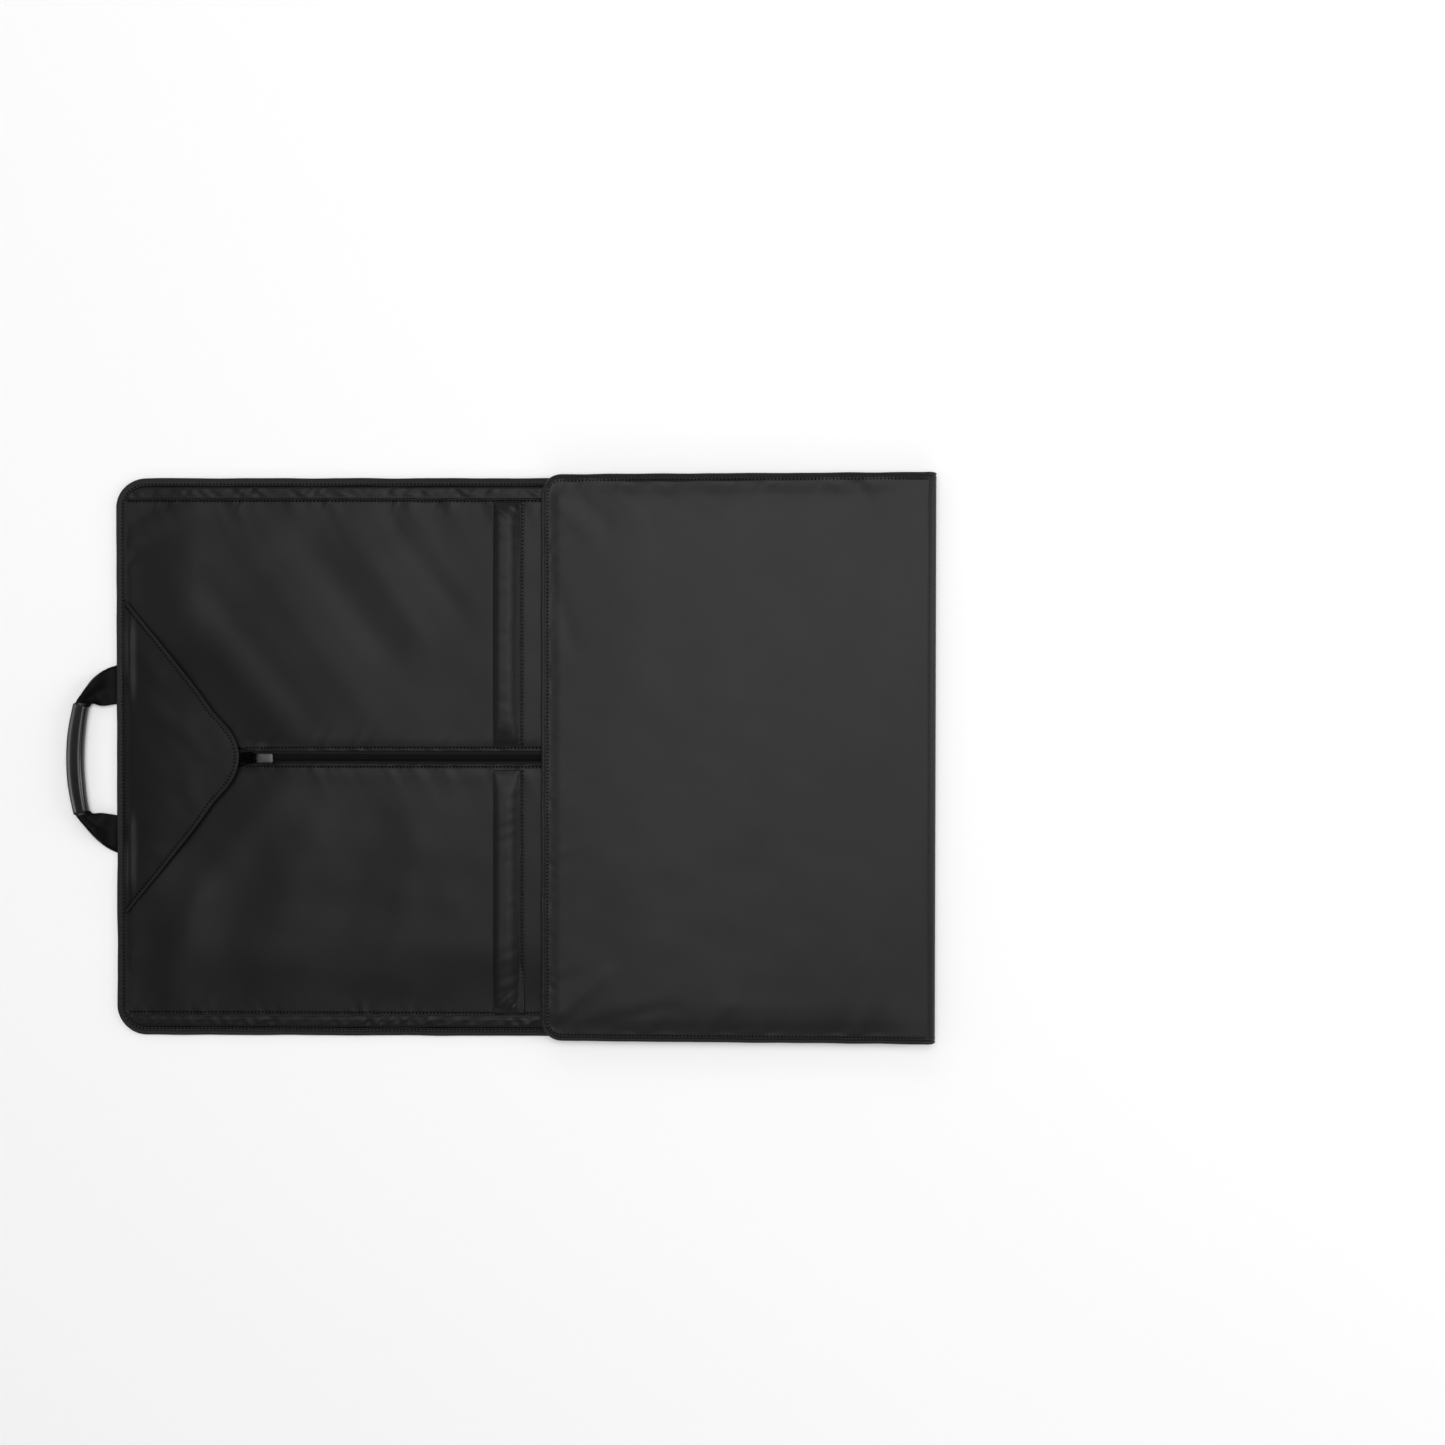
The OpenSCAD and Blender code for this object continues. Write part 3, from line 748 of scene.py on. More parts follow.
def fold_arc(degrees):
    """The half-round at the fold: -90 degrees is the lower flat, 0 the outermost line, 90 the upper flat."""
    r = FOLD_R - 0.35
    angle = np.radians(degrees)[:, None]
    y = (EDGE_Y - BACK_INSET) * across_shares()[None, :]
    arc = np.broadcast_arrays(FOLD_CENTRE_X + r * np.cos(angle), y, FOLD_R + r * np.sin(angle))
    return np.stack(arc, 2)


def make_backs(cloth):
    def main_height(x, y):
        return 0.35 + 0.12 * ripple(x, y, 130, 501)

    def lower_height(x, y):
        """Even at the fold, where the half-round goes on from it."""
        z = lower_back_out(x, y) + STACK_Z
        fade = smooth((x - (FOLD_X - 60)) / 50)
        return z * (1 - fade) + (STACK_Z - 0.35 + 0.25 * (z - STACK_Z + 0.2)) * fade

    x = spaced(END_X + BACK_INSET, FLAT_END_X, 4.0, 32, 0, 1.6)
    grid = outward(warp(back_grid(x, END_X, TOP_CORNER_R, main_height), "main"), False, want_up=False)
    back = shell("back_skin", grid, BACK_T, cloth["back"])
    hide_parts("top_back_panel", "middle_back_panel")
    bend(back)

    arc = fold_arc(np.linspace(-90, 0, 9))
    flat_x = np.linspace(FLAT_END_X, FOLD_CENTRE_X, 4)[:-1]
    flat = np.stack(np.broadcast_arrays(flat_x[:, None], arc[:1, :, 1], 0.35), 2)
    grid = outward(warp(np.concatenate([flat, arc]), "main"), False, want_up=False)
    part = shell("back_skin_fold", grid, BACK_T, cloth["back"])
    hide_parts("fold_panel")
    bend(part)

    x = spaced(HEM_X + BACK_INSET, FOLD_CENTRE_X, 2.8, 30, 0, 1.5)
    over = back_grid(x, HEM_X, HEM_CORNER_R, lower_height)
    grid = warp(np.concatenate([over, fold_arc(np.linspace(90, 0, 15)[1:])]), "lower")
    part = shell("back_skin_lower", outward(grid, False), BACK_T, cloth["back"])
    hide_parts("lower_back_panel")
    bend(part)


# ---------------------------------------------------------------- bound edges
# The binding's cross-section, as (distance in from the bound edge, height), once round
BINDING_PROFILE = [
    (8.0, 0.6), (7.5, 0.2), (6.9, 0.15), (6.3, 0.7), (5.7, 0.15), (4.6, 0.1), (3.5, 0.75), (2.6, 0.65),
    (1.7, 0.0), (0.8, 0.35), (0.2, 1.2), (0.0, 2.1), (0.15, 3.0), (0.7, 3.9), (1.6, 4.2), (2.8, 3.6),
    (4.2, 3.75), (5.6, 4.15), (6.4, 3.6), (7.2, 4.1), (8.0, 3.85), (8.2, 3.2), (7.6, 2.1), (8.2, 1.0),
]


def edge_path(x0, corner_r, x_end, step=2.4):
    """Points of a section's outline from one long edge round its end to the other, with inward directions."""
    straight = np.arange(x_end, x0 + corner_r, -step)
    points = [(x, EDGE_Y, 0.0, -1.0) for x in straight]
    centre_x, centre_y = x0 + corner_r, EDGE_Y - corner_r
    for a in np.linspace(90, 180, 22):
        c, s = math.cos(math.radians(a)), math.sin(math.radians(a))
        points.append((centre_x + corner_r * c, centre_y + corner_r * s, -c, -s))
    for y in np.linspace(centre_y, -centre_y, int(2 * centre_y / step))[1:-1]:
        points.append((x0, y, 1.0, 0.0))
    mirror = [(x, -y, nx, -ny) for x, y, nx, ny in points[: len(straight) + 22][::-1]]
    return np.array(points + mirror)


def fold_path(low_angle, high_angle, count, flat_points=()):
    """Points of a long edge along the half-round, as (x, z, outward x, outward z)."""
    path = [(x, 0.0, 0.0, -1.0) for x in flat_points]
    for a in np.radians(np.linspace(low_angle, high_angle, count)):
        c, s = math.cos(a), math.sin(a)
        path.append((FOLD_CENTRE_X + FOLD_R * c, FOLD_R + FOLD_R * s, c, s))
    return path


def bound_rings(path, lift, part, seed):
    """Cross-sections of the binding along an outline. lift turns a profile depth into a height."""
    s = np.r_[0, np.cumsum(np.hypot(*np.diff(path[:, :2], axis=0).T))]
    swell = 1 + 0.05 * along_noise(s, 55, seed)
    wave = 0.18 * along_noise(s, 70, seed + 1)
    pinch = 0.16 * along_noise(s, 7.2, seed + 2)
    rings = []
    for (x, y, nx, ny), big, shift, small in zip(path, swell, wave, pinch):
        ring = []
        for n, depth in BINDING_PROFILE:
            middle = BINDING_T / 2
            d = middle + (depth - middle) * big + small * (n > 1) * (n < 6)
            ring.append((x + nx * (n + shift), y + ny * (n + shift), lift(d)))
        rings.append(ring)
    return warp(np.array(rings), part)


def long_edge_rings(path, sign, part):
    """Cross-sections of the binding along one long edge, round the half-round of the fold."""
    rings = [
        [(x - ox * depth, sign * (EDGE_Y - n), z - oz * depth) for n, depth in BINDING_PROFILE]
        for x, z, ox, oz in path
    ]
    return warp(np.array(rings), part)


def make_bindings(cloth):
    path = edge_path(END_X, TOP_CORNER_R, FLAT_END_X)
    rings = bound_rings(path, lambda d: d + 0.05, "main", 601)
    binding = sweep("edge_binding", rings, cloth["binding"])
    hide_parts("top_binding", "middle_binding")
    bend(binding)

    for word, sign in (("upper", 1), ("lower", -1)):
        flat = np.linspace(FLAT_END_X, FOLD_CENTRE_X, 3)[:-1]
        rings = long_edge_rings(fold_path(-90, 0, 9, flat), sign, "main")
        if sign < 0:
            rings = rings[:, ::-1]
        part = sweep("edge_binding_fold_" + word, rings, cloth["binding"])
        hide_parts("fold_binding")
        bend(part)

    path = edge_path(HEM_X, HEM_CORNER_R, FOLD_CENTRE_X)
    sink = 0.9
    rings = bound_rings(path, lambda d: STACK_Z - sink - d, "lower", 640)
    rings[..., 2] += sink * smooth((path[:, :1] - (FOLD_X - 60)) / 50)
    half_round = fold_path(0, 90, 12)[:-1]
    first = long_edge_rings(half_round, 1, "lower")
    last = long_edge_rings(half_round[::-1], -1, "lower")
    rings = np.concatenate([first, rings, last])
    part = sweep("edge_binding_lower", rings[:, ::-1], cloth["binding"])
    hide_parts("lower_binding")
    bend(part)


# ---------------------------------------------------------------- zip
def tape_z(x, height):
    """The tape lies under the two edges of the front."""
    edges = [height(x, np.full(np.shape(x), side * ZIP_HALF_GAP)) for side in (1, -1)]
    return (edges[0] + edges[1]) / 2 - 0.9


def zip_profile(y):
    """The closed zip: two tapes that meet in a corded ridge beside the middle, with grooves along it."""
    cord_line = bump_at(y, -0.9, 0.9, 1.1)
    return cord_line - bump_at(np.abs(y + 0.9), 2.7, 0.7, 0.5) - bump_at(np.abs(y), 4.9, 0.7, 0.4)


def tape_grid(x, height, ribs):
    y = np.r_[-13, -10, -7, -5, np.linspace(-3.6, 3.6, 19), 5, 7, 10, 13][None, :]
    z = tape_z(x, height) + zip_profile(y)
    z = np.where(np.abs(y) > 6, np.minimum(z, height(x, y) - 1.2), z)
    z = z + np.cos(x * math.pi) * bump_at(np.abs(y), 1.9, 1.0, ribs)
    return np.stack(np.broadcast_arrays(x, y, z), 2)


def make_zip(cloth):
    main_x = np.arange(ZIP_START_X, FLAT_END_X + 1.1, 1.0)[:, None]
    fold_x = np.linspace(main_x[-1, 0], INNER_END_X, 9)[:, None]
    lower_x = np.r_[np.arange(HEM_X + BINDING_W, FLAT_END_X + 1, 2.0), fold_x[:, 0]][:, None]
    for name, x, height, ribs, bodies, replaced in (
        ("zip_tapes", main_x, main_front_z, 0.1, TOP_BEND, ("top_zip_tapes", "middle_zip_tapes")),
        ("zip_tapes_fold", fold_x, main_at_fold, 0.0, FRONT_BEND_A, ()),
        ("zip_tapes_lower", lower_x, lower_at_fold, 0.0, FRONT_BEND_B, ("lower_zip_tapes",)),
    ):
        grid = section_grid(tape_grid(x, height, ribs), bodies is FRONT_BEND_B)
        tapes = shell(name, grid, 0.7, cloth["tape"])
        if replaced:
            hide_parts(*replaced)
        bend(tapes)

    # The coils lie under the tapes, as one ribbed tube in each section
    for name, x_low, height, bodies, replaced in (
        ("zip_coils", ZIP_START_X + 1, main_front_z, TOP_BEND, ("top_zip_coil", "middle_zip_coil")),
        ("zip_coils_lower", HEM_X + BINDING_W + 2, lower_front_z, FRONT_BEND_B, ("lower_zip_coil",)),
    ):
        rings = []
        for k, x in enumerate(np.arange(x_low, FLAT_END_X, 0.7)):
            big = 1.0 if k % 2 else 0.72
            z = float(tape_z(np.array([[x]]), height)[0, 0]) - 1.55
            rings.append([(x, 2.5 * big * math.cos(a), z + 0.75 * big * math.sin(a)) for a in turn(10)])
        rings = np.array(rings)
        rings = warp(turned(rings), "lower")[::-1] if bodies is FRONT_BEND_B else warp(rings, "main")
        coil = sweep(name, rings, cloth["coil"])
        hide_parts(*replaced)
        bend(coil)


# ---------------------------------------------------------------- rolls
def roll_z(x, y, sign):
    """Height of a padded roll over the front. Flat towards the zip, gathered at its outer end."""
    a = np.abs(y)
    crest = ROLL_LOW_X + 11.6
    left = 1 - np.clip((crest - x) / 13.0, 0, 1) ** 4.6
    right = 1 - np.clip((x - crest) / (ROLL_HIGH_X - 4.2 - crest), 0, 1) ** 2.2
    arc = left * right
    inner = (a - 12.5) / 23.0
    outer = (255.5 - a) / 9.0
    size = 4.4 * (1 + 0.035 * along_noise(a, 70, 700 + sign) + 0.02 * along_noise(a, 22, 703 + sign))
    full = size * arc
    hip = size * 1.08 * np.clip(inner, 0, 4)
    end = size * 1.04 * np.clip(outer, 0, 4) ** 0.8
    k = 1.1
    lowest = -k * np.log(np.exp(-full / k) + np.exp(-hip / k) + np.exp(-end / k))
    z = np.maximum(lowest, 0)
    body = smooth(z / 4)
    z = z + body * 0.22 * along_noise(a + 0.35 * x, 16, 710 + sign) * (1 - arc * 0.6)
    crumple = (1 - smooth((255 - a) / 26)) * body
    return z + crumple * 0.5 * along_noise(a + 0.8 * x, 9, 715 + sign)


def make_rolls(cloth):
    flange_x = ROLL_HIGH_X - 4.2
    x = np.r_[np.linspace(ROLL_LOW_X - 0.5, flange_x, 27), np.linspace(flange_x + 0.8, ROLL_HIGH_X, 5)]
    a = np.r_[np.linspace(12.2, 40, 22)[:-1], np.linspace(40, 228, 86)[:-1], np.linspace(228, 255.6, 26)]
    x = x[:, None]
    for word, sign in (("upper", 1), ("lower", -1)):
        y = sign * a[None, :]
        base = main_front_z(x, y)
        z = base + 0.9 + roll_z(x, y, sign)
        z = z - bump_at(x, ROLL_HIGH_X - 4.4, 0.9, 0.75)
        z = z + seam_pull(y, np.abs(x - ROLL_HIGH_X + 1), 730 + sign, 0.12, 8, 4)
        grid = np.stack(np.broadcast_arrays(x, y, z), 2)
        grid = outward(grid, False)
        under = grid.copy()
        under[..., 2] = base + 0.15
        made = closed_shell("roll_" + word, grid, under, cloth["front"], False)
        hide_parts("roll_sleeve_" + word, "roll_core_" + word)
        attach(made, "top_section")


# ---------------------------------------------------------------- flap
# Half the flap's outline, from its root to its tip
FLAP_OUTLINE = [
    (FLAP_X, 158.5), (-342.5, 117.0), (-302.5, 67.0), (-286.5, 44.5), (-274.0, 31.0), (-266.3, 20.5),
    (-262.5, 10.5), (-261.3, 4.0), (-261.1, 0.0),
]


def rounded(points, step, passes):
    """A line through a few points, with its corners rounded off."""
    line = resample(points, step)
    for _ in range(passes):
        line[1:-1] = (line[:-2] + line[1:-1] * 2 + line[2:]) / 4
    return line


def flap_z(x, y):
    z = 4.4 + 2.8 * smooth((x - FLAP_X) / 6) + 6.0 * (1 - np.exp(-(x - FLAP_X) / 27))
    over_front = np.minimum(main_front_z(x, y) + 1.7, 13.0)
    z = 0.7 * np.log(np.exp(z / 0.7) + np.exp(over_front / 0.7))
    z = z - 0.5 * smooth((x - FLAP_X - 60) / 55)
    ridge = bump_at(x, FLAP_X + 7.5, 4.0, 2.4) * np.exp(-(((np.abs(y) - 98) / 40) ** 4))
    z = z + ridge + 0.25 * ripple(x, y, 90, 801) + 0.1 * ripple(x, y, 30, 802)
    return z + creases(x, y, [
        ((-372, 60), (-300, 22), 12, 0.5), ((-370, -80), (-295, -20), 14, 0.5),
        ((-374, 130), (-335, 70), 9, 0.5), ((-374, -128), (-338, -84), 9, 0.45),
    ])


def make_flap(cloth):
    edge = resample(rounded(FLAP_OUTLINE, 1.0, 14), 1.0)
    tip_x = -261.5 - 18.5 * (1 - np.linspace(0, 1, 22)) ** 1.8
    x_rows = np.concatenate([np.linspace(FLAP_X, -280, 52)[:-1], tip_x])
    half = np.interp(x_rows, edge[:, 0], edge[:, 1])
    x, y = np.broadcast_arrays(x_rows[:, None], half[:, None] * np.linspace(-1, 1, 97)[None, :])
    z = flap_z(x, y)

    grid = outward(np.stack([x, y, z], 2), False)
    outer = shell("flap_cover", grid, 0.9, cloth["flap"])
    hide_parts("flap_outer")
    bend(outer)
    grid = outward(np.stack([x, y * 0.992, z - 1.25], 2), False, want_up=False)
    lining = shell("flap_inner", grid, 0.6, cloth["lining"])
    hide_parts("flap_lining")
    bend(lining)

    line = resample(np.concatenate([edge, (edge * [1, -1])[::-1][1:]]), 1.6)
    centre = np.column_stack([line, flap_z(line[:, 0], line[:, 1]) - 0.55])[3:-3]
    rings = []
    for p, a in zip(centre, np.gradient(centre, axis=0)):
        a = a / np.linalg.norm(a)
        side = np.cross(a, (0, 0, 1.0))
        side /= np.linalg.norm(side)
        up = np.cross(side, a)
        rings.append([p + 1.25 * (side * math.cos(q) + up * math.sin(q)) for q in turn(10)])
    piping = sweep("flap_rim", np.array(rings)[::-1], cloth["binding"])
    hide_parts("flap_piping")
    bend(piping)

    # A row of stitches inside the piping
    line = resample(line, 1.0)
    along = np.gradient(line, axis=0)
    along /= np.linalg.norm(along, axis=1, keepdims=True)
    inward = np.column_stack([along[:, 1], -along[:, 0]])
    line = (line + inward * 3.0)[8:-8]
    points = np.column_stack([line, flap_z(line[:, 0], line[:, 1]) + 0.05])
    thread_and_hole_shade = stitches("flap_stitches", [with_up(points)], cloth["thread_and_hole_shade"])
    bend(thread_and_hole_shade)


# ---------------------------------------------------------------- stitches of the bag
def seam_line(x, y, height, offset=0.08):
    x, y = np.broadcast_arrays(np.asarray(x, float), np.asarray(y, float))
    return np.column_stack([x, y, height(x, y) + offset])


def with_up(points, up=(0, 0, 1.0)):
    return points, np.tile(np.array(up, float), (len(points), 1))


def binding_stitch_line(x0, corner_r, x_end, z, part, up):
    path = edge_path(x0, corner_r, x_end)
    points = np.column_stack([path[:, :2] + path[:, 2:] * 6.4, np.full(len(path), z)])
    return with_up(warp(points, part), up)


def make_stitches(cloth):
    up, down = (0, 0, 1.0), (0, 0, -1.0)
    main = [binding_stitch_line(END_X, TOP_CORNER_R, FLAT_END_X, 3.95, "main", up)]
    for start_x, seam in ((END_X + 14, SEAM_STITCH_Y), (SLIDER_HIGH[0] - 8, ZIP_STITCH_Y)):
        x = np.arange(start_x, FLAT_END_X, 2.0)
        main += [with_up(warp(seam_line(x, y, main_front_z), "main")) for y in (seam, -seam)]
    bend(stitches("seam_stitches", main, cloth["thread_and_hole_shade"]))

    a = np.arange(14, 254, 2.0)
    x = np.full(a.shape, ROLL_HIGH_X - 1.6)
    roll = [with_up(seam_line(x, sign * a, main_front_z, 1.0)) for sign in (1, -1)]
    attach(stitches("roll_stitches", roll, cloth["thread_and_hole_shade"]), "top_section")

    lower = [
        binding_stitch_line(HEM_X, HEM_CORNER_R, FOLD_CENTRE_X - 2, STACK_Z - 1.0, "lower", up),
        binding_stitch_line(HEM_X, HEM_CORNER_R, FOLD_CENTRE_X - 8, STACK_Z - 4.9, "lower", down),
    ]
    x = np.arange(HEM_X + 12, FLAT_END_X, 2.5)
    for y in (SEAM_STITCH_Y, -SEAM_STITCH_Y, ZIP_STITCH_Y, -ZIP_STITCH_Y):
        lower.append(with_up(warp(turned(seam_line(x, y, lower_front_z)), "lower"), down))
    bend(stitches("seam_stitches_lower", lower, cloth["thread_and_hole_shade"]))


# ---------------------------------------------------------------- hanger opening
def front_z_at(x, y):
    return float(main_front_z(np.array([[x]]), np.array([[y]]))[0, 0])


def slot_outline():
    """Once round the slot, as (x, y, outward x, outward y)."""
    line = []
    for centre_x, end_x, side in (
        (SLOT_HIGH_X - SLOT_R, SLOT_LOW_X + SLOT_R, 1), (SLOT_LOW_X + SLOT_R, SLOT_HIGH_X - SLOT_R, -1)
    ):
        for a in np.radians(np.arange(-90, 91, 7.5)):
            c, s = side * math.cos(a), side * math.sin(a)
            line.append((centre_x + SLOT_R * c, SLOT_R * s, c, s))
        line += [(x, side * SLOT_R, 0.0, side) for x in np.linspace(centre_x, end_x, 18)[1:-1]]
    return line


def make_facing(cloth):
    """A bound slot, in the front under the flap, that the hanger's hook comes through."""
    profile = [
        (-0.7, 0.0), (-0.6, 0.55), (0.2, 0.95), (2.2, 0.85), (4.4, 0.75), (5.0, 0.3), (4.8, -0.2), (0.0, -1.0)
    ]
    rings = []
    for x, y, nx, ny in slot_outline():
        z = front_z_at(x, y + ny * 3 + 0.01)
        rings.append([(x + nx * n, y + ny * n, z + h) for n, h in profile])
    rings = np.array(rings)[:, ::-1]
    facing = sweep("hanger_opening_binding", rings, cloth["binding"], closed_path=True)
    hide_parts("hanger_facing")
    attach(facing, "top_section")


def make_magnet_pockets(cloth):
    """Cloth-covered discs under the flap, one on each side of the hanger opening, that hold it shut."""
    low, high = box_mm("body_magnets")
    radius = (high[0] - low[0]) / 2
    centre_x, reach = (low[0] + high[0]) / 2, radius + 1.2
    # Share of the disc's radius, height over the front
    dome = [
        (0.02, 1.5), (0.3, 1.48), (0.6, 1.4), (0.82, 1.25), (0.93, 0.9), (1.0, 0.1), (0.9, -0.4), (0.02, -0.4)
    ]
    for word, side in (("upper", 1), ("lower", -1)):
        rings = []
        for share, lift in dome:
            ring = []
            for a in turn(40):
                x = centre_x + reach * share * math.cos(a)
                y = side * (high[1] - radius) + reach * share * math.sin(a)
                ring.append((x, y, front_z_at(x, y) + lift))
            rings.append(ring)
        disc = sweep("magnet_pocket_" + word, np.array(rings)[:, ::-1], cloth["front"])
        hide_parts("body_magnets")
        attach(disc, "top_section")


# ---------------------------------------------------------------- handle
GRIP_CENTRE = (-191.0, -2.0)
GRIP_R = 235.0
GRIP_ANGLE = 56.0 / GRIP_R
GRIP_HALF_W = 8.6
GRIP_MID_Z = 6.9
# The moulded grip's cross-section, as (distance in from its outer edge, height), once round
GRIP_PROFILE = [
    (0.0, 6.6), (0.2, 8.6), (0.6, 10.4), (1.2, 11.9), (1.9, 13.0), (2.6, 13.5), (3.2, 13.45), (4.1, 13.15),
    (4.8, 12.95), (5.4, 12.9), (8.0, 13.0), (10.6, 13.15), (12.6, 13.3), (13.4, 13.3), (14.2, 13.1),
    (15.0, 12.75), (15.7, 12.0), (16.4, 10.8), (17.0, 9.0), (17.2, 6.8), (16.9, 4.4), (15.9, 2.4),
    (13.8, 0.9), (11.0, 0.4), (6.2, 0.4), (3.2, 0.9), (1.2, 2.4), (0.2, 4.4),
]
# The outer and the inner edge of each webbing end, from the grip to the bag's top edge
WEB_EDGES = {
    "upper": (
        [(-427.0, 50.0), (-425.6, 55.5), (-418.0, 67.0), (-409.5, 78.4), (-401.0, 85.4), (-393.5, 89.5),
         (-384.0, 92.5)],
        [(-411.5, 50.0), (-410.6, 54.4), (-406.0, 53.0), (-401.5, 50.8), (-396.0, 51.0), (-391.0, 52.3),
         (-384.0, 53.4)],
    ),
    "lower": (
        [(-427.0, -54.0), (-425.6, -59.5), (-416.5, -71.0), (-406.5, -82.3), (-396.8, -90.6),
         (-391.0, -94.0), (-384.0, -96.8)],
        [(-411.5, -54.0), (-410.0, -57.5), (-405.5, -56.2), (-400.0, -55.8), (-395.5, -56.6),
         (-391.0, -57.6), (-384.0, -59.0)],
    ),
}


def make_grip(cloth):
    rings = []
    for a in np.linspace(-GRIP_ANGLE, GRIP_ANGLE, 61):
        end = abs(a) / GRIP_ANGLE
        taper, rounding = smooth((end - 0.3) / 0.7), smooth((end - 0.965) / 0.035)
        close = 1 - 0.10 * taper - 0.22 * rounding
        tall = 1 - 0.06 * taper - 0.30 * rounding
        ring = []
        for across, height in GRIP_PROFILE:
            radius = GRIP_R - (across - GRIP_HALF_W) * close
            x = GRIP_CENTRE[0] - radius * math.cos(a)
            y = GRIP_CENTRE[1] + radius * math.sin(a)
            ring.append((x, y, GRIP_MID_Z + (height - GRIP_MID_Z) * tall))
        rings.append(ring)
    grip = sweep("grip", np.array(rings), cloth["grip"])
    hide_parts("grip_cover")
    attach(grip, "handle")


def make_webbing(cloth):
    """The ends of the handle: tall and folded lengthwise at the grip, flat where they enter the bag."""
    s = np.linspace(0, 1, 44)[:, None]
    t = np.linspace(0, 1, 25)[None, :]
    flat = smooth((s - 0.45) / 0.5)
    arch, level = 5.6 * (1 - flat) + 0.6, 5.4 - 3.1 * flat
    across = smooth(t / 0.12) * (1 - smooth((t - 0.2) / 0.9) * smooth((t - 0.1) / 0.2))
    # A soft channel down the middle, where the webbing starts to fold
    channel = 1.5 * smooth(s / 0.4) * (1 - smooth((s - 0.55) / 0.4)) * bump_at(t, 0.5, 0.16, 1.0)
    z = np.minimum(level + arch * across - channel, 12.6)
    for word, edges in WEB_EDGES.items():
        outer, inner = [even_line(rounded(edge, 0.5, 60), 44) for edge in edges]
        xy = outer[:, None, :] * (1 - t[..., None]) + inner[:, None, :] * t[..., None]
        grid = outward(np.concatenate([xy, z[..., None]], 2), False)
        web = shell("handle_webbing_" + word, grid, 1.7, cloth["webbing"])
        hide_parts("handle_web_" + word)
        bend(web)


# ---------------------------------------------------------------- slider and puller
def lathe_loft(sections, count=28):
    """Rings through sections, each a list of (x, half width, bottom, top, squareness)."""
    rings = []
    for x, half, bottom, top, power in sections:
        ring = []
        for q in turn(count):
            c, s = math.cos(q), math.sin(q)
            ring.append((
                x, half * math.copysign(abs(c) ** power, c),
                (bottom + top) / 2 + (top - bottom) / 2 * math.copysign(abs(s) ** power, s),
            ))
        rings.append(ring)
    return np.array(rings)


def make_slider(cloth):
    low_x, length = SLIDER_LOW[0], SLIDER_HIGH[0] - SLIDER_LOW[0]
    top_z = SLIDER_HIGH[2] - 2.6
    plates = []
    for t, half in (
        (0.0, 2.6), (0.03, 3.4), (0.1, 4.2), (0.3, 4.9), (0.6, 5.5), (0.85, 5.75), (0.95, 5.5), (1.0, 4.6)
    ):
        thick = 1.7 * min(1.0, 8 * min(t, 1 - t) + 0.45)
        plates.append((low_x + t * length, half, top_z - thick, top_z, 0.45))
    top = sweep("slider_top", lathe_loft(plates)[:, ::-1], cloth["slider"])
    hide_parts("slider_body")
    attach(top, "zip_slider")

    # The bridge that the puller hangs on
    rings = []
    for a in np.linspace(0, math.pi, 15):
        x, z = PIVOT_X - 2.5 + 4.6 * math.cos(a), top_z - 0.5 + 2.9 * math.sin(a)
        ring = []
        for q in turn(12):
            out, side = 0.55 * math.cos(q), 1.5 * math.copysign(abs(math.sin(q)) ** 0.5, math.sin(q))
            ring.append((x + out * math.cos(a), side, z + out * math.sin(a)))
        rings.append(ring)
    part = sweep("slider_bridge", np.array(rings), cloth["slider"])
    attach(part, "zip_slider")


def make_puller(cloth):
    """A plain cast tab with rounded corners, on a wire loop round the bridge."""
    x0, x1 = PIVOT_X + 6.4, TAB_END_X + 3.0
    centre_y, half, r = -1.0, 4.9, 1.8
    outline = []
    for cx, cy, a0 in (
        (x1 - r, half - r, 90), (x1 - r, r - half, 0), (x0 + r, r - half, -90), (x0 + r, half - r, 180)
    ):
        for a in np.radians(np.linspace(a0, a0 - 90, 8)):
            outline.append((cx + r * math.cos(a), centre_y + cy + r * math.sin(a)))
    outline, centre = np.array(outline), np.array([(x0 + x1) / 2, centre_y])
    # Share of the outline, height over the pivot
    levels = [
        (0.02, -0.9), (0.93, -1.0), (1.0, -0.7), (1.0, 0.3), (0.97, 0.6), (0.9, 0.78), (0.7, 0.9),
        (0.35, 0.98), (0.02, 1.0)
    ]
    rings = []
    for share, height in levels:
        ring = centre + (outline - centre) * share
        rings.append(np.column_stack([ring, np.full(len(ring), PIVOT_Z + height)]))
    part = sweep("puller_tab", np.array(rings), cloth["puller"])
    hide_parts("pull_tab")
    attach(part, "puller")

    wire_r = 0.8
    loop = []
    for a in turn(24):
        cx, cy = PIVOT_X + 3.7 + 4.3 * math.cos(a), 3.6 * math.sin(a) - 0.5
        ring = []
        for q in turn(10):
            out = wire_r * math.cos(q)
            ring.append((cx + out * math.cos(a), cy + out * math.sin(a), PIVOT_Z + wire_r * math.sin(q)))
        loop.append(ring)
    part = sweep("puller_loop", np.array(loop), cloth["slider"], closed_path=True)
    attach(part, "puller")


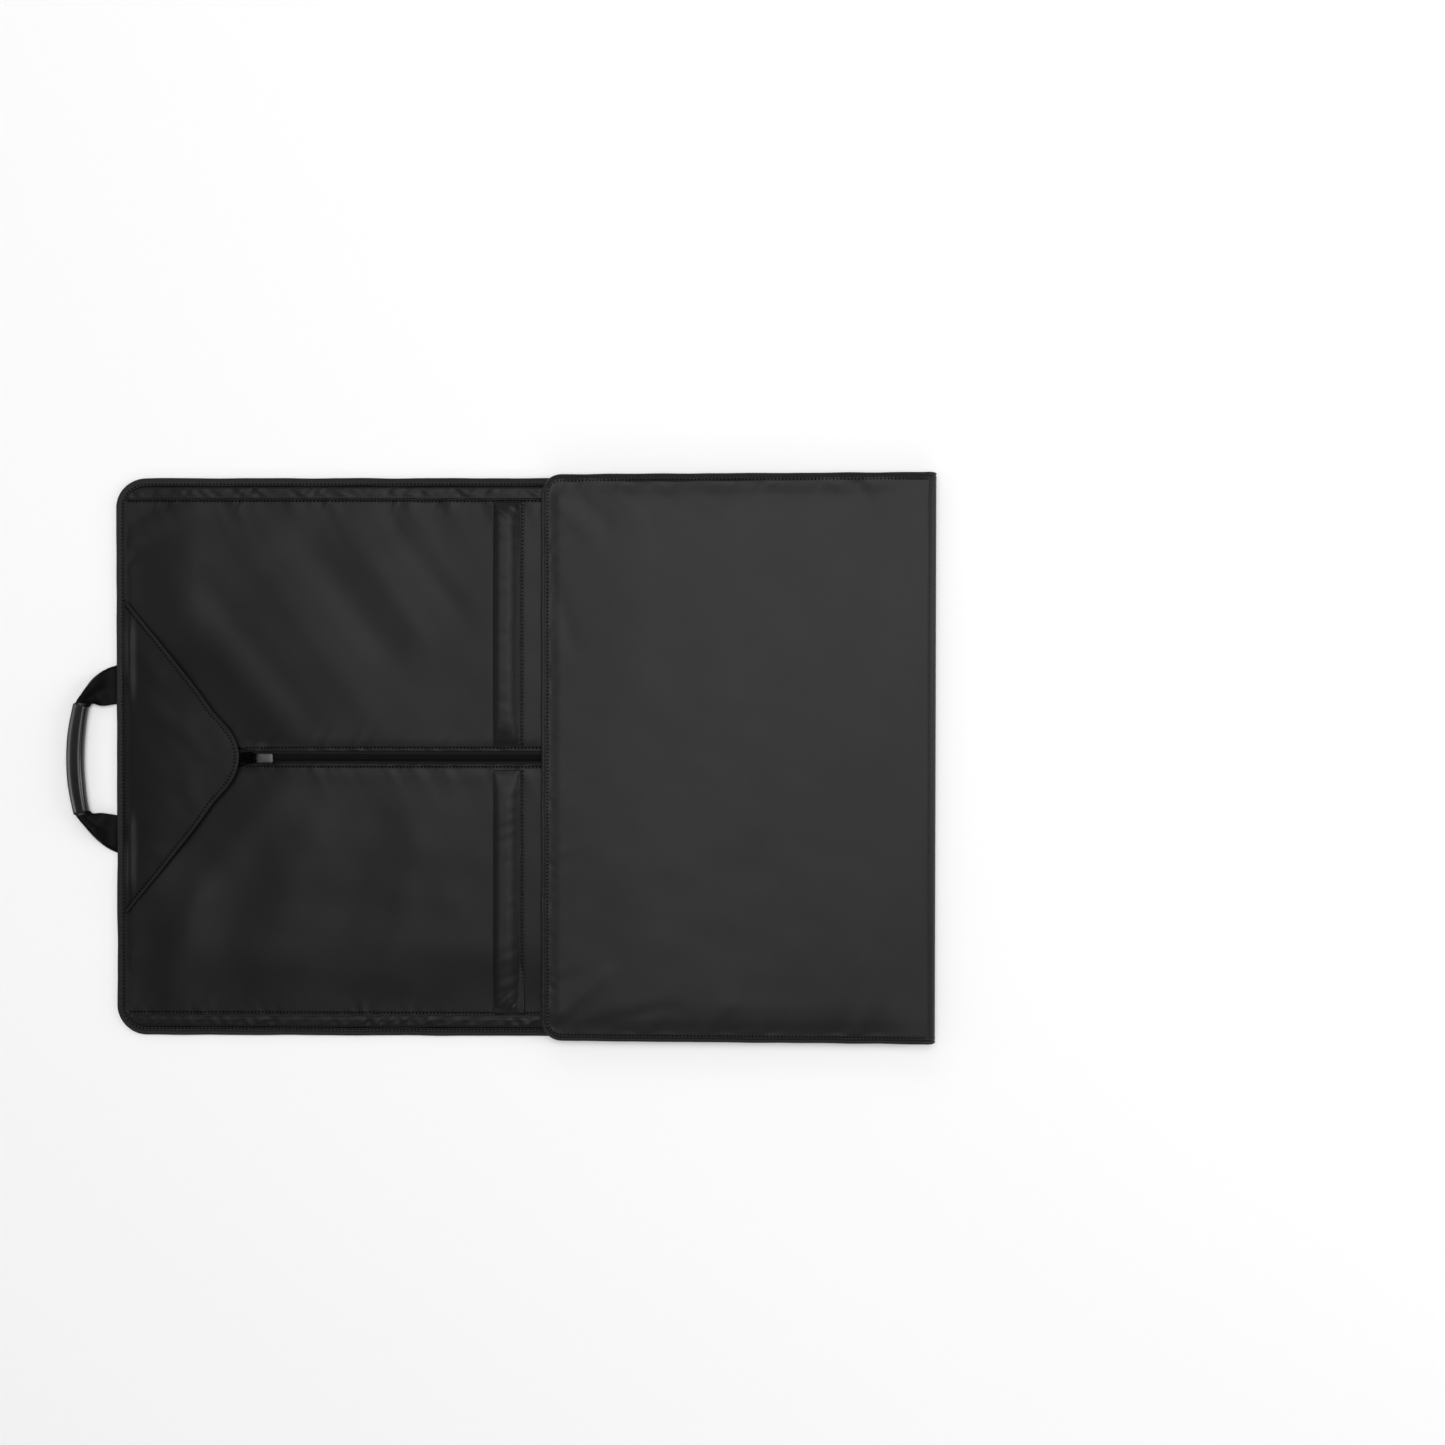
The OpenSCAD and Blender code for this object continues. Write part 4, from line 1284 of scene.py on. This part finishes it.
# ---------------------------------------------------------------- everything
def make_materials():
    """One grey or black for each piece: name, colour, roughness, and what its kind of surface needs."""
    return {
        "front": cloth_material("front_nylon", (0.0066, 0.0066, 0.0069), 0.38, 0.45, 0.155),
        "flap": cloth_material("flap_nylon", (0.0046, 0.0046, 0.0048), 0.38, 0.45, 0.135),
        "back": cloth_material("back_nylon", (0.0113, 0.0113, 0.0117), 0.4, 0.45, 0.168),
        "binding": ribbed_material("binding_tape", (0.009, 0.009, 0.0095), 0.38, 0.5, "X", 0.16),
        "lining": cloth_material("lining_twill", (0.005, 0.005, 0.0055), 0.38, 0.3, 0.12, twill=0.5),
        "tape": ribbed_material("zip_tape", (0.002, 0.002, 0.0022), 0.4, 0.9, "X", 0.075),
        "coil": hard_material("coil_nylon", (0.005, 0.005, 0.0055), 0.35),
        # Near-black thread: its own colour, and also painted shade for the holes that the stitches sink into.
        "thread_and_hole_shade": ribbed_material("thread_and_hole_shade", (0.0015, 0.0015, 0.0016), 0.6, 0.3, "X", 0.02),
        "webbing": ribbed_material("webbing", (0.0012, 0.0012, 0.0013), 0.4, 1.1, "Y", 0.06),
        "grip": hard_material("grip_rubber", (0.002, 0.002, 0.0022), 0.24, 0.0, 1500, 0.012, 0.4),
        "slider": hard_material("slider_paint", (0.0006, 0.0006, 0.0006), 0.3, specular=0.01),
        "puller": hard_material("puller_gunmetal", (0.045, 0.045, 0.047), 0.3, metallic=0.9),
        "board": hard_material("board_pulp", (0.05, 0.045, 0.04), 0.7, 0.0, 900, 0.08),
        "metal": hard_material("gunmetal", (0.09, 0.09, 0.095), 0.34, metallic=0.9),
        "core": hard_material("foam", (0.03, 0.03, 0.032), 0.8, 0.0, 1800, 0.15),
    }


# The CAD pieces that stay in view, each with the material that it gets
KEPT = {
    "top_board": "board", "handle_anchors": "webbing", "hanger_strap": "webbing", "hanger_snap": "metal",
    "zip_top_stops": "metal", "zip_bottom_stop": "metal", "flap_magnets": "metal", "grip_core": "core",
}

make_camera()
make_studio()
CLOTH = make_materials()
make_fronts(CLOTH)
make_backs(CLOTH)
make_bindings(CLOTH)
make_zip(CLOTH)
make_rolls(CLOTH)
make_flap(CLOTH)
make_stitches(CLOTH)
make_facing(CLOTH)
make_magnet_pockets(CLOTH)
make_grip(CLOTH)
make_webbing(CLOTH)
make_slider(CLOTH)
make_puller(CLOTH)
for name, key in KEPT.items():
    thing = frame["nodes"][name]
    thing.data.materials.clear()
    thing.data.materials.append(CLOTH[key])
